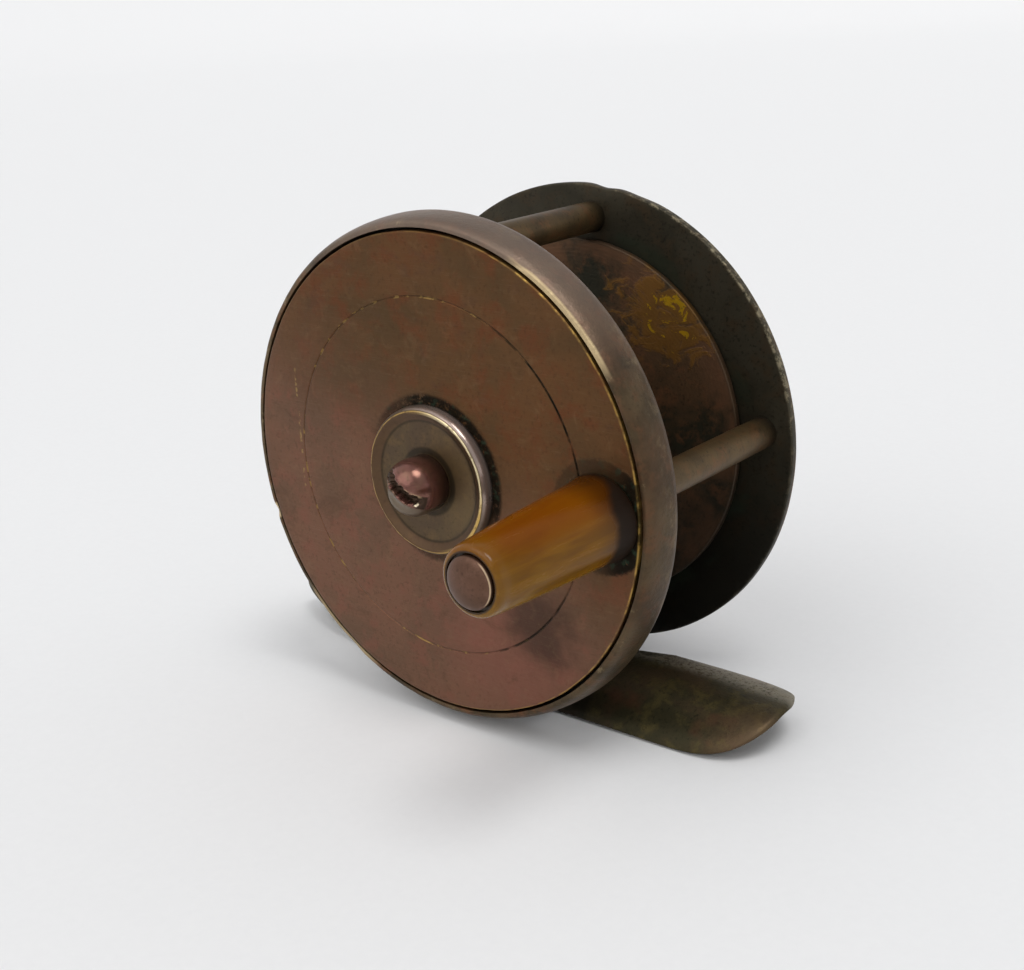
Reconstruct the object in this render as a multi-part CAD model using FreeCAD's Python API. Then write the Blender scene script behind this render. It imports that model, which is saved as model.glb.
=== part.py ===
import FreeCAD, Part
import math
import os

from FreeCAD import Vector

# A brass plate-wind fly reel. Millimetres, +Z up.
# X runs along the rod, Y along the spindle with the winding plate towards -Y.
# The origin is on the rod's axis, under the middle of the reel, so a rod laid along X
# through the origin fits the foot's hollow seat.

# ------------------------------------------------------------------ driving dimensions
# Frame plates and the space between them
FRONT_R = 35.0  # crest of the front plate's rounded rim
BACK_INSET = 0.4  # back plate's edge inside the front plate's crest
FRAME_GAP = 29.3  # between the inner faces of the two frame plates
WEB_T = 1.4  # front frame plate, behind the winding plate
BACK_T = 1.3
RIM_DEPTH = 5.9  # front plate's rim, lip to rear edge
RIM_CREST = 4.8  # from the lip back to the rim's largest radius
RIM_WALL = 1.6  # crest to inner wall
RIM_LIP = 0.35
EDGE_SOFT = 0.25  # broken edge on the plates

# Winding plate with its dished boss and locking screw
WINDING_T = 1.5
RIM_GAP = 0.4  # all round, between winding plate and rim
WINDING_SPACE = 2.1  # from the winding plate's back to the front plate's web
SCRIBE_INSET = 8.4  # scribed circle, in from the winding plate's edge
SCRIBE_W = 0.3
SCRIBE_D = 0.14
BOSS_R = 10.3
BOSS_H = 1.9
DISH_R = 8.4
DISH_D = 0.8
DISH_RIDGE = 0.4
SPIGOT_R = 5.0
SPIGOT_FLARE = 1.2
SPIGOT_FLARE_T = 0.5
LOCK_HEAD_R = 3.95
LOCK_HEAD_H = 6.5
LOCK_HEAD_EDGE = 2.7
LOCK_SLOT_W = 1.3
LOCK_SLOT_D = 1.8
LOCK_SLOT_DEG = 22.0
LOCK_SHANK_R = 1.5
LOCK_SHANK_L = 8.5

# Spindle
SPINDLE_R = 3.0
SPINDLE_SQUARE = 4.2  # across flats
SPINDLE_TAIL_R = 2.2
SPINDLE_TAIL_L = 3.2
RUN_CLEAR = 0.04  # radial, spindle and grip
BUSH_WALL = 2.0
BUSH_FLANGE = 1.2
BUSH_FLANGE_T = 0.8

# Spool
FLANGE_PILLAR_CLEAR = 0.8
FLANGE_T = 1.0
FLANGE_CLEAR = 0.6  # from each flange to its frame plate
DRUM_R = 9.0
DRUM_WALL = 1.0
COLLAR_L = 4.0
DRUM_PIN_R = 0.6
DRUM_PIN_SHY = 0.15  # pin ends stop this short of the drum wall

# Pillars
PILLAR_R = 2.2
PILLAR_INSET = 5.0  # pillar axes, in from the front plate's crest
PILLAR_TENON_R = 1.3
PILLAR_TOP_DEG = 4.0  # clockwise from straight up, seen from the front
PILLAR_SIDE_DEG = 86.0
FOOT_PILLAR_X = 10.0
PILLAR_SCREW_R = 1.25
PILLAR_SCREW_L = 5.0
PILLAR_HEAD_R = 2.3
PILLAR_HEAD_H = 1.2
PILLAR_HEAD_EDGE = 0.4
PILLAR_SLOT_W = 0.6
PILLAR_SLOT_D = 0.6
PILLAR_SLOT_TURNS = (20, -35, 70, 5, -60)  # degrees, as the screws happened to end up

# Foot: a curved tongue at each end, hollow below to sit on a round rod
SEAT_R = 10.0
FOOT_T = 1.5
FOOT_HALF_DEG = 57.0
FOOT_RIGHT = 42.1  # reach of each tongue from the middle of the reel
FOOT_LEFT = 48.0
FOOT_RIGHT_TIP = 14.0  # length over which each tongue is rounded off
FOOT_LEFT_TIP = 34.0
FOOT_PILLAR_BITE = 0.38  # depth of the foot pillars' seats in the foot's crown
FOOT_SCREW_R = 1.0
FOOT_SCREW_L = 2.6
FOOT_HEAD_R = 1.8
FOOT_HEAD_H = 0.7
FOOT_HEAD_SINK = 0.05  # heads lie this far above the seat's crown

# Handle
HANDLE_INSET = 5.7  # handle's axis, in from the winding plate's edge
HANDLE_DEG = 90.4  # clockwise from straight up, seen from the front
HANDLE_PIN_R = 2.0
HANDLE_TENON_R = 1.6
HANDLE_RIVET_R = 2.6
HANDLE_RIVET_T = 0.7
GRIP_LENGTH = 24.4
GRIP_BASE_R = 5.8
GRIP_WAIST_R = 5.45
GRIP_TIP_R = 4.5
GRIP_FOOT_L = 2.6
GRIP_ROUND = 1.1
GRIP_CLEAR = 0.2  # lengthwise, at each end of the grip
CAP_R = 3.2
CAP_SKIRT = 0.5
CAP_DOME = 0.9
CAP_RING_GAP = 0.3

# Click check behind the back plate
TEETH = 12
RATCHET_R = 8.0
SCALLOP_GAP = 0.25  # between the pawl's nose and the bottom of a tooth gap
RATCHET_T = 1.2
RATCHET_LIFT = 0.6  # off the back plate
NUT_FLATS = 7.0
NUT_T = 1.2
PAWL_REACH = 3.4  # pivot to nose
PAWL_MESH = 0.45  # nose inside the tooth tips
PAWL_BODY_R = 2.5
PAWL_FLAT = 2.2
PAWL_NOSE_TIP = 0.3
STUD_R = 1.2
STUD_HEAD_R = 1.9
STUD_HEAD_T = 0.5
PAWL_CLEAR = 0.05
SPRING_T = 0.35
SPRING_GAP = 0.2
SPRING_POST_X = 6.4
SPRING_REACH = 3.6
SPRING_SCREW_R = 0.8
SPRING_HEAD_R = 1.35
HOUSING_CLEAR = 1.2  # between the spring's post and the housing wall
HOUSING_H = 5.2
HOUSING_T = 0.9
HOUSING_FLANGE = 3.1
HOUSING_HUB_R = 3.6
HOUSING_HUB_H = 0.7
HOUSING_SOFT = 1.2
COVER_SCREW_R = 0.8
COVER_HEAD_R = 1.4
COVER_HEAD_H = 0.7
COVER_HEAD_EDGE = 0.25
COVER_SLOT_W = 0.4
COVER_SLOT_D = 0.35
COVER_SLOT_STEP = 40.0
COVER_SCREWS = 3

# ------------------------------------------------------------------ derived places
RIM_IN_R = FRONT_R - RIM_WALL
WINDING_R = RIM_IN_R - RIM_GAP
SCRIBE_R = WINDING_R - SCRIBE_INSET
BACK_R = FRONT_R - BACK_INSET
PILLAR_RING_R = FRONT_R - PILLAR_INSET
FLANGE_R = PILLAR_RING_R - PILLAR_R - FLANGE_PILLAR_CLEAR
FOOT_PILLAR_DROP = math.sqrt(PILLAR_RING_R ** 2 - FOOT_PILLAR_X ** 2)
FOOT_DROP = FOOT_PILLAR_DROP + PILLAR_R - FOOT_PILLAR_BITE
AXIS_Z = SEAT_R + FOOT_T + FOOT_DROP
BUSH_R = SPINDLE_R + RUN_CLEAR + BUSH_WALL
WEB_BACK = -FRAME_GAP / 2
WEB_FRONT = WEB_BACK - WEB_T
WINDING_BACK = WEB_FRONT - WINDING_SPACE
WINDING_FACE = WINDING_BACK - WINDING_T
BACK_IN = FRAME_GAP / 2
BACK_OUT = BACK_IN + BACK_T
BOSS_TOP = WINDING_FACE - BOSS_H
DISH_FLOOR = BOSS_TOP + DISH_D
FLARE_BACK = WINDING_BACK + SPIGOT_FLARE_T
FLANGE_FRONT = WEB_BACK + FLANGE_CLEAR
FLANGE_REAR = BACK_IN - FLANGE_CLEAR
RATCHET_FRONT = BACK_OUT + RATCHET_LIFT
RATCHET_BACK = RATCHET_FRONT + RATCHET_T
LIP_Y = WINDING_FACE + RIM_LIP / 2
HANDLE_RING_R = WINDING_R - HANDLE_INSET
PAWL_Z = AXIS_Z + RATCHET_R + PAWL_REACH - PAWL_MESH
SPRING_Z = PAWL_Z + PAWL_BODY_R + SPRING_GAP
HOUSING_R = math.hypot(SPRING_POST_X, SPRING_Z - AXIS_Z) + SPRING_HEAD_R + HOUSING_CLEAR + HOUSING_T
FOOT_HALF_WIDTH = (SEAT_R + FOOT_T) * math.sin(math.radians(FOOT_HALF_DEG))



def round_axis(ring, degrees):
    """(x, z) on a ring about the spindle, clockwise from straight up as seen from the front."""
    turn = math.radians(degrees)
    return ring * math.sin(turn), AXIS_Z + ring * math.cos(turn)


HANDLE_X, HANDLE_Z = round_axis(HANDLE_RING_R, HANDLE_DEG)

# (x, z) of each pillar's axis
PILLARS = {
    "pillar_top": round_axis(PILLAR_RING_R, PILLAR_TOP_DEG),
    "pillar_handle_side": round_axis(PILLAR_RING_R, PILLAR_SIDE_DEG),
    "pillar_far_side": round_axis(PILLAR_RING_R, -PILLAR_SIDE_DEG),
    "foot_pillar_right": (FOOT_PILLAR_X, AXIS_Z - FOOT_PILLAR_DROP),
    "foot_pillar_left": (-FOOT_PILLAR_X, AXIS_Z - FOOT_PILLAR_DROP),
}


# ------------------------------------------------------------------ shape helpers
def outline(points, place):
    """Closed wire through points; a 4-long entry is an arc by way of its first pair."""
    here = points[0][:2]
    edges = []
    for point in points[1:] + [points[0][:2]]:
        start = place(*here)
        here = point[-2:]
        if len(point) == 4:
            edges.append(Part.Arc(start, place(*point[:2]), place(*here)).toShape())
        else:
            edges.append(Part.LineSegment(start, place(*here)).toShape())
    return Part.Wire(edges)


def turned(points, x=0.0, z=AXIS_Z):
    """Solid turned from a closed (radius, y) outline round a line parallel to Y."""
    face = Part.Face(outline(points, lambda r, y: Vector(r, y, 0)))
    solid = face.revolve(Vector(0, 0, 0), Vector(0, 1, 0), 360)
    solid.translate(Vector(x, 0, z))
    return solid


def bar(radius, y_start, y_end, x=0.0, z=AXIS_Z):
    """Round bar parallel to Y."""
    return Part.makeCylinder(radius, y_end - y_start, Vector(x, y_start, z), Vector(0, 1, 0))


def tube(outer, inner, y_start, y_end, x=0.0, z=AXIS_Z):
    return bar(outer, y_start, y_end, x, z).cut(bar(inner, y_start, y_end, x, z))


def plate_outline(points, y_start, y_end):
    """Solid with a closed (x, z) outline and flat faces square to Y."""
    face = Part.Face(outline(points, lambda x, z: Vector(x, y_start, z)))
    return face.extrude(Vector(0, y_end - y_start, 0))


def domed(radius, skirt, dome, y_seat, outward, x=0.0, z=AXIS_Z):
    """Domed head standing on y_seat; outward is +1 or -1 along Y."""
    skirt_y = y_seat + outward * skirt
    top_y = skirt_y + outward * dome
    ball = (radius ** 2 + dome ** 2) / (2 * dome)
    mid_r = radius * 0.5
    mid_y = top_y - outward * (ball - math.sqrt(ball ** 2 - mid_r ** 2))
    points = [(0, y_seat), (radius, y_seat), (radius, skirt_y), (mid_r, mid_y, 0, top_y)]
    return turned(points, x, z)


def slotted_screw(head_r, skirt, dome, shank_r, shank_l, slot, y_seat, outward, x, z, turn=0.0):
    """Round-head screw; slot is (width, depth) and turn is the slot's angle in degrees."""
    head = domed(head_r, skirt, dome, y_seat, outward, x, z)
    ends = sorted((y_seat, y_seat - outward * shank_l))
    screw = head.fuse(bar(shank_r, ends[0], ends[1], x, z))
    width, depth = slot
    top = y_seat + outward * (skirt + dome)
    low = min(top, top - outward * depth)
    cutter = Part.makeBox(3 * head_r, depth, width, Vector(x - 1.5 * head_r, low, z - width / 2))
    cutter.rotate(Vector(x, 0, z), Vector(0, 1, 0), turn)
    return screw.cut(cutter)


def square_bar(flats, y_start, y_end):
    corner = Vector(-flats / 2, y_start, AXIS_Z - flats / 2)
    return Part.makeBox(flats, y_end - y_start, flats, corner)


def save(name, shape):
    shape.removeSplitter().exportStep("parts/" + name + ".step")


# ------------------------------------------------------------------ frame
def front_plate():
    """Shallow cup: a web behind the winding plate and a rounded rim round its edge."""
    crest_y = LIP_Y + RIM_CREST
    rear_y = LIP_Y + RIM_DEPTH
    lip_r = RIM_IN_R + RIM_LIP
    shoulder = (lip_r + 0.76 * (FRONT_R - lip_r), LIP_Y + 0.4 * RIM_CREST)
    tuck = (FRONT_R - 0.15, crest_y + 0.6 * (rear_y - crest_y))
    cup = turned([
        (BUSH_R, WEB_FRONT),
        (RIM_IN_R, WEB_FRONT),
        (RIM_IN_R, LIP_Y),
        (lip_r, LIP_Y),
        shoulder + (FRONT_R, crest_y),
        tuck + (FRONT_R - 0.5, rear_y),
        (FRONT_R - RIM_WALL, rear_y),
        (FRONT_R - RIM_WALL, WEB_BACK),
        (BUSH_R, WEB_BACK),
    ])
    for x, z in PILLARS.values():
        cup = cup.cut(bar(PILLAR_TENON_R, WEB_FRONT, WEB_BACK, x, z))
    return cup


def back_plate():
    """Thin disc with softened edges, drilled for the pillars, bush and click check."""
    disc = turned([
        (BUSH_R, BACK_IN),
        (BACK_R - EDGE_SOFT, BACK_IN),
        (BACK_R, BACK_IN + EDGE_SOFT),
        (BACK_R, BACK_OUT - EDGE_SOFT),
        (BACK_R - EDGE_SOFT, BACK_OUT),
        (BUSH_R, BACK_OUT),
    ])
    holes = [bar(PILLAR_SCREW_R, BACK_IN, BACK_OUT, x, z) for x, z in PILLARS.values()]
    holes.append(bar(STUD_R, BACK_IN, BACK_OUT, 0, PAWL_Z))
    holes.append(bar(SPRING_SCREW_R, BACK_IN, BACK_OUT, -SPRING_POST_X, SPRING_Z))
    holes += [bar(COVER_SCREW_R, BACK_IN, BACK_OUT, x, z) for x, z in cover_screw_places()]
    return disc.cut(Part.makeCompound(holes))


def pillar(name):
    """Round pillar: riveted tenon in the front web, tapped end at the back plate."""
    x, z = PILLARS[name]
    shape = bar(PILLAR_R, WEB_BACK, BACK_IN, x, z)
    shape = shape.fuse(bar(PILLAR_TENON_R, WEB_FRONT, WEB_BACK, x, z))
    shape = shape.cut(bar(PILLAR_SCREW_R, BACK_IN - PILLAR_SCREW_L, BACK_IN, x, z))
    if name.startswith("foot"):
        depth = foot_screw_top() - SEAT_R
        drill = Part.makeCylinder(FOOT_SCREW_R, depth, Vector(x, 0, SEAT_R))
        shape = shape.cut(drill)
    return shape


def pillar_screws():
    length = PILLAR_SCREW_L + BACK_T
    dome = PILLAR_HEAD_H - PILLAR_HEAD_EDGE
    slot = (PILLAR_SLOT_W, PILLAR_SLOT_D)
    screws = []
    for (x, z), turn in zip(PILLARS.values(), PILLAR_SLOT_TURNS):
        screws.append(slotted_screw(
            PILLAR_HEAD_R, PILLAR_HEAD_EDGE, dome, PILLAR_SCREW_R, length, slot,
            BACK_OUT, 1, x, z, turn
        ))
    return Part.makeCompound(screws)


def bush(y_face, y_flange, outward):
    """Flanged spindle bush pressed into a frame plate."""
    ends = sorted((y_face, y_flange))
    body = bar(BUSH_R, ends[0], ends[1])
    rim = sorted((y_flange, y_flange + outward * BUSH_FLANGE_T))
    body = body.fuse(bar(BUSH_R + BUSH_FLANGE, rim[0], rim[1]))
    return body.cut(bar(SPINDLE_R + RUN_CLEAR, ends[0] - BUSH_FLANGE_T, ends[1] + BUSH_FLANGE_T))


def rear_bush():
    """Plain bush flush inside, standing a little proud behind."""
    return tube(BUSH_R, SPINDLE_R + RUN_CLEAR, BACK_IN, BACK_OUT + RATCHET_LIFT / 2)


# ------------------------------------------------------------------ foot
def foot_screw_top():
    return SEAT_R + FOOT_T + FOOT_SCREW_L


def foot():
    """Arched strip bent to the rod's radius, cut to a tongue at each end."""
    length = FOOT_LEFT + FOOT_RIGHT
    start = Vector(-FOOT_LEFT, 0, 0)
    axis = Vector(1, 0, 0)
    strip = Part.makeCylinder(SEAT_R + FOOT_T, length, start, axis)
    strip = strip.cut(Part.makeCylinder(SEAT_R, length, start, axis))
    reach = 2 * SEAT_R + FOOT_T
    side = reach * math.tan(math.radians(FOOT_HALF_DEG))
    wedge_points = [(0, 0), (side, reach), (-side, reach)]
    wedge = Part.Face(outline(wedge_points, lambda y, z: Vector(-FOOT_LEFT, y, z)))
    strip = strip.common(wedge.extrude(Vector(length, 0, 0)))
    strip = strip.common(tongue_plan().extrude(Vector(0, 0, SEAT_R + FOOT_T)))

    for x in (FOOT_PILLAR_X, -FOOT_PILLAR_X):
        strip = strip.cut(bar(PILLAR_R, WEB_BACK, BACK_IN, x, AXIS_Z - FOOT_PILLAR_DROP))
    return strip.cut(foot_screws())


def tongue_plan():
    """Plan of the foot: straight sides between two half-ellipse ends."""
    shoulders = (-FOOT_LEFT + FOOT_LEFT_TIP, FOOT_RIGHT - FOOT_RIGHT_TIP)
    edges = []
    for y in (FOOT_HALF_WIDTH, -FOOT_HALF_WIDTH):
        sides = [Vector(x, y, 0) for x in shoulders]
        edges.append(Part.LineSegment(sides[0], sides[1]).toShape())
    for x, tip, start in ((shoulders[0], FOOT_LEFT_TIP, 1), (shoulders[1], FOOT_RIGHT_TIP, -1)):
        curve = Part.Ellipse(Vector(x, 0, 0), tip, FOOT_HALF_WIDTH)
        edges.append(curve.toShape(start * math.pi / 2, (start + 2) * math.pi / 2))
    return Part.Face(Part.Wire(Part.__sortEdges__(edges)))


def foot_screws():
    """Two countersunk screws up through the foot's crown into the foot pillars."""
    screws = []
    seat = SEAT_R + FOOT_HEAD_SINK
    for x in (FOOT_PILLAR_X, -FOOT_PILLAR_X):
        head = Part.makeCone(FOOT_HEAD_R, FOOT_SCREW_R, FOOT_HEAD_H, Vector(x, 0, seat))
        shank = Part.makeCylinder(FOOT_SCREW_R, foot_screw_top() - seat, Vector(x, 0, seat))
        screws.append(head.fuse(shank))
    return Part.makeCompound(screws)


# ------------------------------------------------------------------ spool
def spindle():
    """Steel spindle: square nose for the winding plate, plain bearing, threaded tail."""
    nose_end = DISH_FLOOR + 0.2
    shaft = bar(SPINDLE_R, FLARE_BACK, RATCHET_FRONT)
    shaft = shaft.fuse(square_bar(SPINDLE_SQUARE, nose_end, FLARE_BACK))
    shaft = shaft.fuse(bar(SPINDLE_TAIL_R, RATCHET_FRONT, RATCHET_FRONT + SPINDLE_TAIL_L))
    shaft = shaft.cut(bar(LOCK_SHANK_R, nose_end, DISH_FLOOR + LOCK_SHANK_L))
    return shaft.cut(drum_pin())


def drum_pin():
    half = DRUM_R - DRUM_WALL - DRUM_PIN_SHY
    y = FLANGE_REAR - FLANGE_T - COLLAR_L / 2
    return Part.makeCylinder(DRUM_PIN_R, 2 * half, Vector(-half, y, AXIS_Z), Vector(1, 0, 0))


def flange(y_outer, inward):
    """Spool end disc with a collar that the drum slides over."""
    soft = EDGE_SOFT
    inner = y_outer + inward * FLANGE_T
    collar_end = inner + inward * COLLAR_L
    return turned([
        (SPINDLE_R, y_outer),
        (FLANGE_R - soft, y_outer),
        (FLANGE_R, y_outer + inward * soft),
        (FLANGE_R, inner - inward * soft),
        (FLANGE_R - soft, inner),
        (DRUM_R - DRUM_WALL, inner),
        (DRUM_R - DRUM_WALL, collar_end),
        (SPINDLE_R, collar_end),
    ])


def winding_plate():
    """Flat disc with a fine scribed circle, bored for the boss and the handle pin."""
    groove_in = SCRIBE_R - SCRIBE_W / 2
    groove_out = SCRIBE_R + SCRIBE_W / 2
    disc = turned([
        (SPIGOT_R, WINDING_FACE),
        (groove_in, WINDING_FACE),
        (SCRIBE_R, WINDING_FACE + SCRIBE_D),
        (groove_out, WINDING_FACE),
        (WINDING_R - EDGE_SOFT, WINDING_FACE),
        (WINDING_R, WINDING_FACE + EDGE_SOFT),
        (WINDING_R, WINDING_BACK),
        (SPIGOT_R, WINDING_BACK),
    ])
    return disc.cut(bar(HANDLE_TENON_R, WINDING_FACE, WINDING_BACK, HANDLE_X, HANDLE_Z))


def plate_boss():
    """Dished boss whose spigot passes through the plate and is flared over behind."""
    ridge_r = BOSS_R - DISH_RIDGE
    boss = turned([
        (0, DISH_FLOOR),
        (DISH_R, DISH_FLOOR),
        (ridge_r, BOSS_TOP),
        (BOSS_R - EDGE_SOFT, BOSS_TOP),
        (BOSS_R, BOSS_TOP + EDGE_SOFT),
        (BOSS_R, WINDING_FACE),
        (SPIGOT_R, WINDING_FACE),
        (SPIGOT_R, WINDING_BACK),
        (SPIGOT_R + SPIGOT_FLARE, WINDING_BACK),
        (SPIGOT_R + SPIGOT_FLARE, FLARE_BACK),
        (0, FLARE_BACK),
    ])
    return boss.cut(square_bar(SPINDLE_SQUARE, DISH_FLOOR, FLARE_BACK))


def locking_screw():
    dome = LOCK_HEAD_H - LOCK_HEAD_EDGE
    slot = (LOCK_SLOT_W, LOCK_SLOT_D)
    return slotted_screw(
        LOCK_HEAD_R, LOCK_HEAD_EDGE, dome, LOCK_SHANK_R, LOCK_SHANK_L, slot,
        DISH_FLOOR, -1, 0, AXIS_Z, LOCK_SLOT_DEG
    )


# ------------------------------------------------------------------ handle
GRIP_BACK = WINDING_FACE - GRIP_CLEAR
GRIP_END = GRIP_BACK - GRIP_LENGTH
CAP_SEAT = GRIP_END + CAP_SKIRT


def handle_pin():
    """Steel pin riveted through the winding plate."""
    pin = bar(HANDLE_PIN_R, CAP_SEAT - GRIP_CLEAR, WINDING_FACE, HANDLE_X, HANDLE_Z)
    pin = pin.fuse(bar(HANDLE_TENON_R, WINDING_FACE, WINDING_BACK, HANDLE_X, HANDLE_Z))
    rivet = bar(HANDLE_RIVET_R, WINDING_BACK, WINDING_BACK + HANDLE_RIVET_T, HANDLE_X, HANDLE_Z)
    return pin.fuse(rivet)


def handle_cap():
    """Domed cap that closes the grip's recess and keeps the grip on its pin."""
    return domed(CAP_R, CAP_SKIRT, CAP_DOME, CAP_SEAT - GRIP_CLEAR, -1, HANDLE_X, HANDLE_Z)


def handle_grip():
    """Tapered horn grip, flared where it meets the plate, with a rounded end."""
    bore = HANDLE_PIN_R + RUN_CLEAR
    recess = CAP_R + CAP_RING_GAP
    waist_y = GRIP_BACK - GRIP_FOOT_L
    round_y = GRIP_END + GRIP_ROUND
    round_r = GRIP_TIP_R - GRIP_ROUND * (1 - math.sqrt(0.5))
    round_mid_y = GRIP_END + GRIP_ROUND * (1 - math.sqrt(0.5))
    flat_r = max(GRIP_TIP_R - GRIP_ROUND, recess + 0.1)
    flare_mid = (GRIP_WAIST_R + 0.35 * (GRIP_BASE_R - GRIP_WAIST_R), GRIP_BACK - 0.45 * GRIP_FOOT_L)
    return turned([
        (bore, GRIP_BACK),
        (GRIP_BASE_R, GRIP_BACK),
        flare_mid + (GRIP_WAIST_R, waist_y),
        (GRIP_TIP_R, round_y),
        (max(round_r, flat_r + 0.05), round_mid_y, flat_r, GRIP_END),
        (recess, GRIP_END),
        (recess, CAP_SEAT),
        (bore, CAP_SEAT),
    ], HANDLE_X, HANDLE_Z)


# ------------------------------------------------------------------ click check
def ratchet_wheel():
    """Star wheel on the spindle: round scallops leave narrow teeth, and one scallop faces the pawl."""
    wheel = tube(RATCHET_R, SPINDLE_TAIL_R, RATCHET_FRONT, RATCHET_BACK)
    ring = PAWL_Z - AXIS_Z
    for tooth in range(TEETH):
        x, z = round_axis(ring, 360.0 * tooth / TEETH)
        wheel = wheel.cut(bar(PAWL_REACH + SCALLOP_GAP, RATCHET_FRONT, RATCHET_BACK, x, z))
    return wheel


def ratchet_nut():
    corner = NUT_FLATS / math.sqrt(3)
    points = [round_axis(corner, 60.0 * side) for side in range(6)]
    nut = plate_outline(points, RATCHET_BACK, RATCHET_BACK + NUT_T)
    return nut.cut(bar(SPINDLE_TAIL_R, RATCHET_BACK, RATCHET_BACK + NUT_T))


def check_pawl():
    """Round pawl with a pointed nose down to the wheel and a flat for the spring."""
    body = bar(PAWL_BODY_R, RATCHET_FRONT, RATCHET_BACK, 0, PAWL_Z)
    nose = plate_outline([
        (-PAWL_BODY_R * 0.6, PAWL_Z),
        (-PAWL_NOSE_TIP / 2, PAWL_Z - PAWL_REACH),
        (PAWL_NOSE_TIP / 2, PAWL_Z - PAWL_REACH),
        (PAWL_BODY_R * 0.6, PAWL_Z),
    ], RATCHET_FRONT, RATCHET_BACK)
    keep_low = PAWL_Z - 2 * PAWL_REACH
    keep = Part.makeBox(
        4 * PAWL_BODY_R, RATCHET_T, PAWL_Z + PAWL_FLAT - keep_low,
        Vector(-2 * PAWL_BODY_R, RATCHET_FRONT, keep_low)
    )
    shape = body.fuse(nose).common(keep)
    return shape.cut(bar(STUD_R + PAWL_CLEAR, RATCHET_FRONT, RATCHET_BACK, 0, PAWL_Z))


def pawl_stud():
    """Headed stud, riveted in the back plate, that the pawl swings on."""
    head_y = RATCHET_BACK + SPRING_GAP
    stud = bar(STUD_R, BACK_IN, head_y, 0, PAWL_Z)
    return stud.fuse(bar(STUD_HEAD_R, head_y, head_y + STUD_HEAD_T, 0, PAWL_Z))


def check_spring():
    """Flat leaf spring with a rolled eye, lying just above the pawl's flat."""
    eye = bar(SPRING_HEAD_R - 0.2, RATCHET_FRONT, RATCHET_BACK, -SPRING_POST_X, SPRING_Z)
    leaf = Part.makeBox(
        SPRING_POST_X + SPRING_REACH, RATCHET_T, SPRING_T,
        Vector(-SPRING_POST_X, RATCHET_FRONT, SPRING_Z)
    )
    hole = bar(SPRING_SCREW_R, RATCHET_FRONT, RATCHET_BACK, -SPRING_POST_X, SPRING_Z)
    return eye.fuse(leaf).cut(hole)


def spring_post():
    """Headed post in the back plate, with a collar under the spring's eye."""
    x, z = -SPRING_POST_X, SPRING_Z
    post = bar(SPRING_SCREW_R, BACK_IN, RATCHET_BACK, x, z)
    collar = bar(SPRING_HEAD_R, BACK_OUT, RATCHET_FRONT, x, z)
    head = domed(SPRING_HEAD_R, 0.3, 0.3, RATCHET_BACK, 1, x, z)
    return post.fuse(collar).fuse(head)


def cover_screw_places():
    ring = HOUSING_R + HOUSING_FLANGE / 2
    return [round_axis(ring, 360.0 * index / COVER_SCREWS) for index in range(COVER_SCREWS)]


def check_housing():
    """Flanged round cover over the click check, with a hub at its centre."""
    top = BACK_OUT + HOUSING_H
    flange_r = HOUSING_R + HOUSING_FLANGE
    bend = HOUSING_SOFT * (1 - math.sqrt(0.5))
    cover = turned([
        (0, top + HOUSING_HUB_H),
        (HOUSING_HUB_R, top + HOUSING_HUB_H),
        (HOUSING_HUB_R, top),
        (HOUSING_R - HOUSING_SOFT, top),
        (HOUSING_R - bend, top - bend, HOUSING_R, top - HOUSING_SOFT),
        (HOUSING_R, BACK_OUT + HOUSING_T),
        (flange_r, BACK_OUT + HOUSING_T),
        (flange_r, BACK_OUT),
        (HOUSING_R - HOUSING_T, BACK_OUT),
        (HOUSING_R - HOUSING_T, top - HOUSING_T),
        (0, top - HOUSING_T),
    ])
    holes = [bar(COVER_SCREW_R, BACK_OUT, top, x, z) for x, z in cover_screw_places()]
    return cover.cut(Part.makeCompound(holes))


def housing_screws():
    seat = BACK_OUT + HOUSING_T
    length = HOUSING_T + BACK_T
    dome = COVER_HEAD_H - COVER_HEAD_EDGE
    slot = (COVER_SLOT_W, COVER_SLOT_D)
    screws = []
    for index, (x, z) in enumerate(cover_screw_places()):
        screws.append(slotted_screw(
            COVER_HEAD_R, COVER_HEAD_EDGE, dome, COVER_SCREW_R, length, slot,
            seat, 1, x, z, COVER_SLOT_STEP * index
        ))
    return Part.makeCompound(screws)


# ------------------------------------------------------------------ write every piece
os.makedirs("parts", exist_ok=True)

PIECES = {
    "front_plate": front_plate(),
    "back_plate": back_plate(),
    "pillar_screws": pillar_screws(),
    "front_bush": bush(WEB_BACK, WEB_FRONT, -1),
    "rear_bush": rear_bush(),
    "foot": foot(),
    "foot_screws": foot_screws(),
    "spindle": spindle(),
    "drum_pin": drum_pin(),
    "spool_drum": tube(DRUM_R, DRUM_R - DRUM_WALL, FLANGE_FRONT + FLANGE_T, FLANGE_REAR - FLANGE_T),
    "front_flange": flange(FLANGE_FRONT, 1),
    "rear_flange": flange(FLANGE_REAR, -1).cut(drum_pin()),
    "winding_plate": winding_plate(),
    "plate_boss": plate_boss(),
    "locking_screw": locking_screw(),
    "handle_pin": handle_pin(),
    "handle_cap": handle_cap(),
    "handle_grip": handle_grip(),
    "ratchet_wheel": ratchet_wheel(),
    "ratchet_nut": ratchet_nut(),
    "check_pawl": check_pawl(),
    "pawl_stud": pawl_stud(),
    "check_spring": check_spring(),
    "spring_post": spring_post(),
    "check_housing": check_housing(),
    "housing_screws": housing_screws(),
}
for pillar_name in PILLARS:
    PIECES[pillar_name] = pillar(pillar_name)

for piece_name, piece_shape in PIECES.items():
    save(piece_name, piece_shape)
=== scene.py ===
import math

import bmesh
import bpy
import numpy as np
from mathutils import Matrix, Vector


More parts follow.
